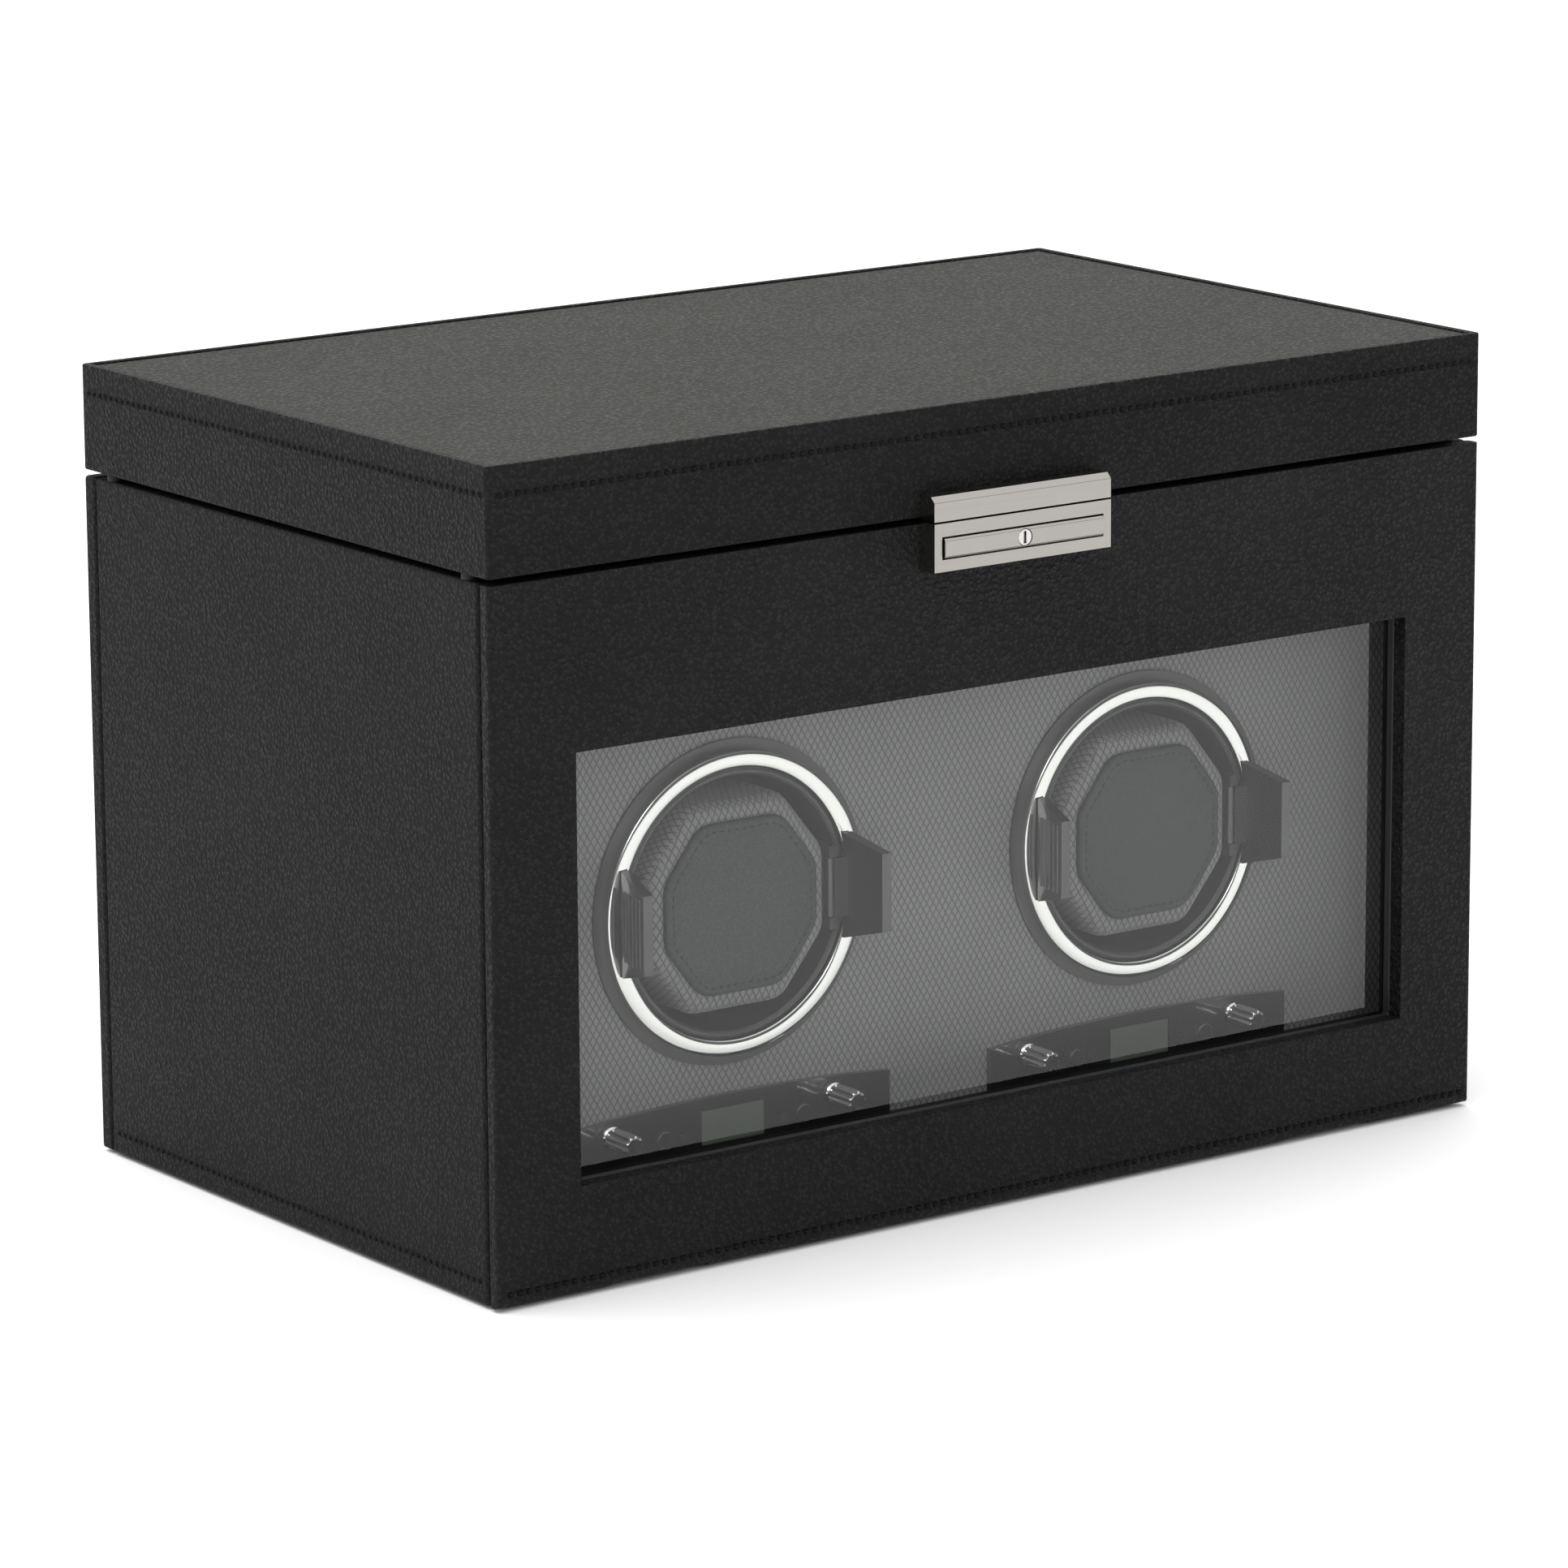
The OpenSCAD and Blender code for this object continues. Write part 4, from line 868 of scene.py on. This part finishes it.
def lofted(name, outline, sections, centre, total):
    """Skins inset outlines placed along Y: sections are (y, inset) in millimetres.
    A UV map named wrap unrolls the flanks and lays the front out flat, in metres."""
    count = len(outline)
    verts, faces = [], []
    mesh = bpy.data.meshes.new(name)
    for y, inset in sections:
        for x, z in outline:
            length = math.hypot(x, z)
            k = max(0.0, (length - inset) / length)
            verts.append((centre[0] + x * k * MM, y * MM, centre[2] + z * k * MM))
    for s in range(len(sections) - 1):
        for i in range(count):
            j = (i + 1) % count
            faces.append((s * count + i, s * count + j, (s + 1) * count + j, (s + 1) * count + i))
    for s, flip in ((0, False), (len(sections) - 1, True)):
        verts.append((centre[0], sections[s][0] * MM, centre[2]))
        hub = len(verts) - 1
        for i in range(count):
            j = (i + 1) % count
            a, b = s * count + i, s * count + j
            faces.append((a, b, hub) if flip else (b, a, hub))
    mesh.from_pydata(verts, [], faces)
    uv = mesh.uv_layers.new(name="wrap")
    for polygon in mesh.polygons:
        facing_front = abs(polygon.normal.y) > FRONT_FACING
        wraps = []
        for loop in polygon.loop_indices:
            vertex = mesh.loops[loop].vertex_index
            co = mesh.vertices[vertex].co
            if facing_front:
                wraps.append((loop, co.x - centre[0], co.z - centre[2]))
            else:
                ring = vertex % count if vertex < count * len(sections) else 0
                wraps.append((loop, total * MM * ring / count, co.y))
        span = [w[1] for w in wraps]
        if not facing_front and max(span) - min(span) > total * MM / 2:
            wraps = [(lp, u + (total * MM if u < total * MM / 2 else 0), v) for lp, u, v in wraps]
        for loop, u, v in wraps:
            uv.data[loop].uv = (u, v)
    bm = bmesh.new()
    bm.from_mesh(mesh)
    bmesh.ops.recalc_face_normals(bm, faces=bm.faces)
    bm.to_mesh(mesh)
    bm.free()
    return new_piece(name, mesh)


# %% [markdown]
# ### Sleeve, pad and tabs
# The sleeve's front edge is a quarter round. The pad is thinner: a flat middle, a shallow valley
# where the stitches pull it down, and a rolled rim. The black core and its two finger tabs keep
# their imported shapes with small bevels, so that a watch strap has no knife edge to rub on.

# %% Cushions, pads and frames
ROLL = 4.5
SLEEVE_TOP, SLEEVE_SIDE, SLEEVE_CORNER = 16, 12, 7
PAD_TOP, PAD_SIDE, PAD_CORNER = 14, 9, 9
STITCH_INSET = 2.4
pad_paths = {}


def sleeve_sections(y0, y1):
    """The sleeve's (y, inset) pairs: closed front, quarter-round edge, flanks, turned-in back."""
    edge = []
    for k in range(9):
        a = math.radians(90 * k / 8)
        edge.append((y0 + ROLL * (1 - math.sin(a)), ROLL * (1 - math.cos(a))))
    flank = [(y0 + ROLL + (y1 - y0 - 2 * ROLL) * k / 10, 0.0) for k in range(1, 11)]
    return [(y0 + 0.25, 9.0)] + edge[::-1] + flank + [(y1 - 1.5, 0.6), (y1, 2.5)]


def pad_sections(y0, y1):
    """The pad's (y, inset) pairs: middle, valley at the stitches, rim, wall down to the sleeve."""
    return [(y0 + 0.35, 22), (y0 + 0.15, 12), (y0 + 0.1, 6), (y0 + 0.35, 3.4),
            (y0 + 0.75, STITCH_INSET), (y0 + 0.5, 1.4), (y0 + 0.8, 0.5), (y0 + 1.4, 0),
            (y1, 0.1)]


def box_sizes(node_name):
    """Half width, half height, front and back of a node, in millimetres."""
    low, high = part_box(node_name)
    return (high.x - low.x) / 2 / MM, (high.z - low.z) / 2 / MM, low.y / MM, high.y / MM


for side in ("left", "right"):
    axis = winder_axis[side]
    body = f"{side}_cuff_body"
    half_w, half_h, y0, y1 = box_sizes(f"{side}_cuff_cushion")
    shape = round_outline(half_w, half_h, SLEEVE_TOP, SLEEVE_SIDE, SLEEVE_CORNER)
    outline, total = evened(shape, 96)
    sleeve = lofted(f"{side}_cuff_sleeve", outline, sleeve_sections(y0, y1), axis, total)
    shade(sleeve, None)
    dress(sleeve, cuff_weave, body, [f"{side}_cuff_cushion"])

    half_w, half_h, y0, y1 = box_sizes(f"{side}_cuff_pad")
    shape = round_outline(half_w, half_h, PAD_TOP, PAD_SIDE, PAD_CORNER)
    outline, total = evened(shape, 120)
    pad = lofted(f"{side}_cuff_front_pad", outline, pad_sections(y0, y1), axis, total)
    shade(pad, None)
    dress(pad, pad_wrap, body, [f"{side}_cuff_pad"])
    pad_paths[side] = []
    for x, z in outline:
        k = 1 - STITCH_INSET / math.hypot(x, z)
        pad_paths[side].append((axis.x + x * k * MM, (y0 + 0.6) * MM, axis.z + z * k * MM))
    softened(f"{side}_cuff_core", f"{side}_cuff_frame", satin_black, 0.4, 3, 40)
    for mark in ("a", "b"):
        softened(f"{side}_cuff_tab_{mark}", f"{side}_finger_tab_{mark}", gloss_black,
                 0.45, 3, 40)
    print(sleeve.name, pad.name, "pad outline", round(total, 1))

# %% [markdown]
# ## Pillows
# The two pillows in the tray are stuffed cloth. A closed shape a little smaller than the pillow is
# blown up by a short cloth simulation with pressure and no gravity, and each point's travel is
# capped so that the pillow stays in its cell.

# %% Pillow by cloth simulation
def plump(obj, cap, pressure=4.0, voxel=4.5, frames=20):
    """Blows a closed piece up with cloth pressure and caps how far each point moves."""
    remesh = obj.modifiers.new("voxels", "REMESH")
    remesh.mode = "VOXEL"
    remesh.voxel_size = voxel * MM
    applied(obj)
    rest = [v.co.copy() for v in obj.data.vertices]
    cloth = obj.modifiers.new("cloth", "CLOTH")
    cloth.settings.use_pressure = True
    cloth.settings.uniform_pressure_force = pressure
    cloth.settings.effector_weights.gravity = 0
    cloth.settings.quality = 5
    for f in range(1, frames + 1):
        scene.frame_set(f)
    applied(obj)
    for vertex, start in zip(obj.data.vertices, rest):
        move = vertex.co - start
        if move.length > cap * MM:
            vertex.co = start + move.normalized() * cap * MM
    scene.frame_set(1)
    return obj


def pillow_form(name, low, high, shrink):
    """A rounded bar with pinched ends, to be blown up."""
    mesh = bpy.data.meshes.new(name)
    bm = bmesh.new()
    bmesh.ops.create_cube(bm, size=1.0)
    bmesh.ops.subdivide_edges(bm, edges=bm.edges, cuts=5, use_grid_fill=True)
    middle = (low + high) / 2
    half = (high - low) / 2 - Vector((shrink, shrink, shrink)) * MM
    for v in bm.verts:
        x, y, z = (2 * c for c in v.co)
        roundness = math.sqrt(1 - 0.42 * y * y) * math.sqrt(1 - 0.3 * x * x)
        v.co = middle + Vector((x * half.x * (1 - 0.05 * z * z), y * half.y * (1 - 0.14 * z * z),
                                z * half.z * roundness))
    bm.to_mesh(mesh)
    bm.free()
    return new_piece(name, mesh)


PILLOW_SHRINK = 2.2   # how much smaller than its box the form starts
PILLOW_TRAVEL = 3.0   # how far the cloth may carry a point
for side in ("left", "right"):
    low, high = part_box(f"{side}_pillow")
    form = pillow_form(f"{side}_watch_pillow", low, high, PILLOW_SHRINK)
    pillow = plump(form, cap=PILLOW_TRAVEL)
    smooth = pillow.modifiers.new("smooth", "SUBSURF")
    smooth.levels = smooth.render_levels = 1
    applied(pillow)
    tray_floor = low.z + 0.1 * MM
    for v in pillow.data.vertices:
        v.co.z = max(v.co.z, tray_floor)
    uv = pillow.data.uv_layers.new(name="wrap")
    for polygon in pillow.data.polygons:
        for loop in polygon.loop_indices:
            co = pillow.data.vertices[pillow.data.loops[loop].vertex_index].co
            uv.data[loop].uv = (co.x, co.y + (co.z if abs(polygon.normal.y) > 0.7 else 0))
    shade(pillow, None)
    dress(pillow, cuff_weave, f"{side}_pillow_body", [f"{side}_pillow"])
    print(pillow.name, len(pillow.data.polygons), "faces")

# %% [markdown]
# ## Stitches
# The wrap is sewn in long rows of small stitches. A row is a path, and one Geometry Nodes tree lays
# stitches along any path at a given pitch: it resamples the path, sets a small ellipsoid on each
# point and turns it along the path.

# %% Stitch tree
def stitch_tree():
    """The Geometry Nodes tree that lays stitches along a path."""
    tree = bpy.data.node_groups.new("stitch row", "GeometryNodeTree")
    face = tree.interface
    face.new_socket("Path", in_out="INPUT", socket_type="NodeSocketGeometry")
    for label, default in (("Pitch", 3.0 * MM), ("Stitch length", 2.2 * MM),
                           ("Thread radius", 0.3 * MM)):
        socket = face.new_socket(label, in_out="INPUT", socket_type="NodeSocketFloat")
        socket.default_value = default
    face.new_socket("Thread", in_out="INPUT", socket_type="NodeSocketMaterial")
    face.new_socket("Stitches", in_out="OUTPUT", socket_type="NodeSocketGeometry")
    start = tree.nodes.new("NodeGroupInput")
    end = tree.nodes.new("NodeGroupOutput")
    path = node(tree, "GeometryNodeMeshToCurve", {0: start.outputs["Path"]})
    spaced = node(tree, "GeometryNodeResampleCurve", {"Curve": path.outputs[0]})
    spaced.mode = "LENGTH"
    tree.links.new(start.outputs["Pitch"], spaced.inputs["Length"])
    bead = node(tree, "GeometryNodeMeshUVSphere", {"Segments": 6, "Rings": 4, "Radius": 1.0})
    half = maths(tree, "MULTIPLY", start.outputs["Stitch length"], 0.5)
    size = node(tree, "ShaderNodeCombineXYZ", {0: half, 1: start.outputs["Thread radius"],
                                               2: start.outputs["Thread radius"]})
    along = node(tree, "FunctionNodeAlignRotationToVector",
                 {"Vector": node(tree, "GeometryNodeInputTangent").outputs[0]}, axis="X")
    laid = node(tree, "GeometryNodeInstanceOnPoints",
                {"Points": spaced.outputs[0], "Instance": bead.outputs["Mesh"],
                 "Rotation": along.outputs[0], "Scale": size.outputs[0]})
    real = node(tree, "GeometryNodeRealizeInstances", {0: laid.outputs[0]})
    coloured = node(tree, "GeometryNodeSetMaterial", {"Geometry": real.outputs[0],
                                                      "Material": start.outputs["Thread"]})
    tree.links.new(coloured.outputs[0], end.inputs[0])
    return tree


STITCH_TREE = stitch_tree()
STITCH_INPUTS = {item.name: item.identifier for item in STITCH_TREE.interface.items_tree
                 if item.in_out == "INPUT"}
print("stitch inputs", list(STITCH_INPUTS))

# %% [markdown]
# ### Stitch rows
# Rows run round the lid's band, along the foot of the front and the case, and round each cuff pad.
# Each lies a hair proud of its wrap, in the groove that the finish pulls in at the same height.

# %% Stitch rows
def stitch_row(name, paths, body, thread_finish, pitch, length, radius, slot):
    """Sews rows along polylines given in metres; each path is (points, closed)."""
    verts, edges = [], []
    for points, closed in paths:
        first = len(verts)
        verts += points
        edges += [(first + k, first + k + 1) for k in range(len(points) - 1)]
        if closed:
            edges.append((len(verts) - 1, first))
    mesh = bpy.data.meshes.new(name)
    mesh.from_pydata(verts, edges, [])
    row = new_piece(name, mesh)
    sew = row.modifiers.new("sew", "NODES")
    sew.node_group = STITCH_TREE
    sew[STITCH_INPUTS["Pitch"]] = pitch * MM
    sew[STITCH_INPUTS["Stitch length"]] = length * MM
    sew[STITCH_INPUTS["Thread radius"]] = radius * MM
    sew[STITCH_INPUTS["Thread"]] = thread_finish
    applied(row)
    row.data.polygons.foreach_set("use_smooth", [True] * len(row.data.polygons))
    print(name, len(row.data.polygons), "faces")
    return dress(row, thread_finish, body)


LEATHER_SEWING = (thread, 3.0, 2.15, 0.5, "leather")  # thread, pitch, length, radius, slot
PAD_SEWING = (pad_thread, 2.6, 1.9, 0.28, "pad_leather")
lid_low, lid_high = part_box("lid_rim")
PROUD = 0.05 * MM   # how far a row stands out of its wrap
z = LID_SEAM * MM
x0, x1 = lid_low.x - PROUD, lid_high.x + PROUD
y0, y1 = lid_low.y - PROUD, lid_high.y + PROUD
side_in = 4 * MM
lid_paths = [
    ([(x0 + side_in, y0, z), (x1 - side_in, y0, z)], False),
    ([(x0 + side_in, y1, z), (x1 - side_in, y1, z)], False),
    ([(x0, y0 + side_in, z), (x0, y1 - side_in, z)], False),
    ([(x1, y0 + side_in, z), (x1, y1 - side_in, z)], False),
]
stitch_row("lid_stitches", lid_paths, "lid", *LEATHER_SEWING)
door_low, door_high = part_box("door_board")
foot = FOOT_SEAM_FRONT * MM
stitch_row("door_foot_stitches",
           [([(door_low.x + side_in, door_low.y - PROUD, foot),
              (door_high.x - side_in, door_low.y - PROUD, foot)], False)],
           "door", *LEATHER_SEWING)
case_low, case_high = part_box("left_side_panel")[0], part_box("right_side_panel")[1]
back_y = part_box("back_panel")[1].y
z = FOOT_SEAM_SIDE * MM
stitch_row("case_foot_stitches", [
    ([(case_low.x - PROUD, case_low.y + side_in, z),
      (case_low.x - PROUD, case_high.y - side_in, z)], False),
    ([(case_high.x + PROUD, case_low.y + side_in, z),
      (case_high.x + PROUD, case_high.y - side_in, z)], False),
    ([(case_low.x + side_in, back_y + PROUD, z),
      (case_high.x - side_in, back_y + PROUD, z)], False)],
    "case", *LEATHER_SEWING)
for side in ("left", "right"):
    stitch_row(f"{side}_pad_stitches", [(pad_paths[side], True)], f"{side}_cuff_body",
               *PAD_SEWING)
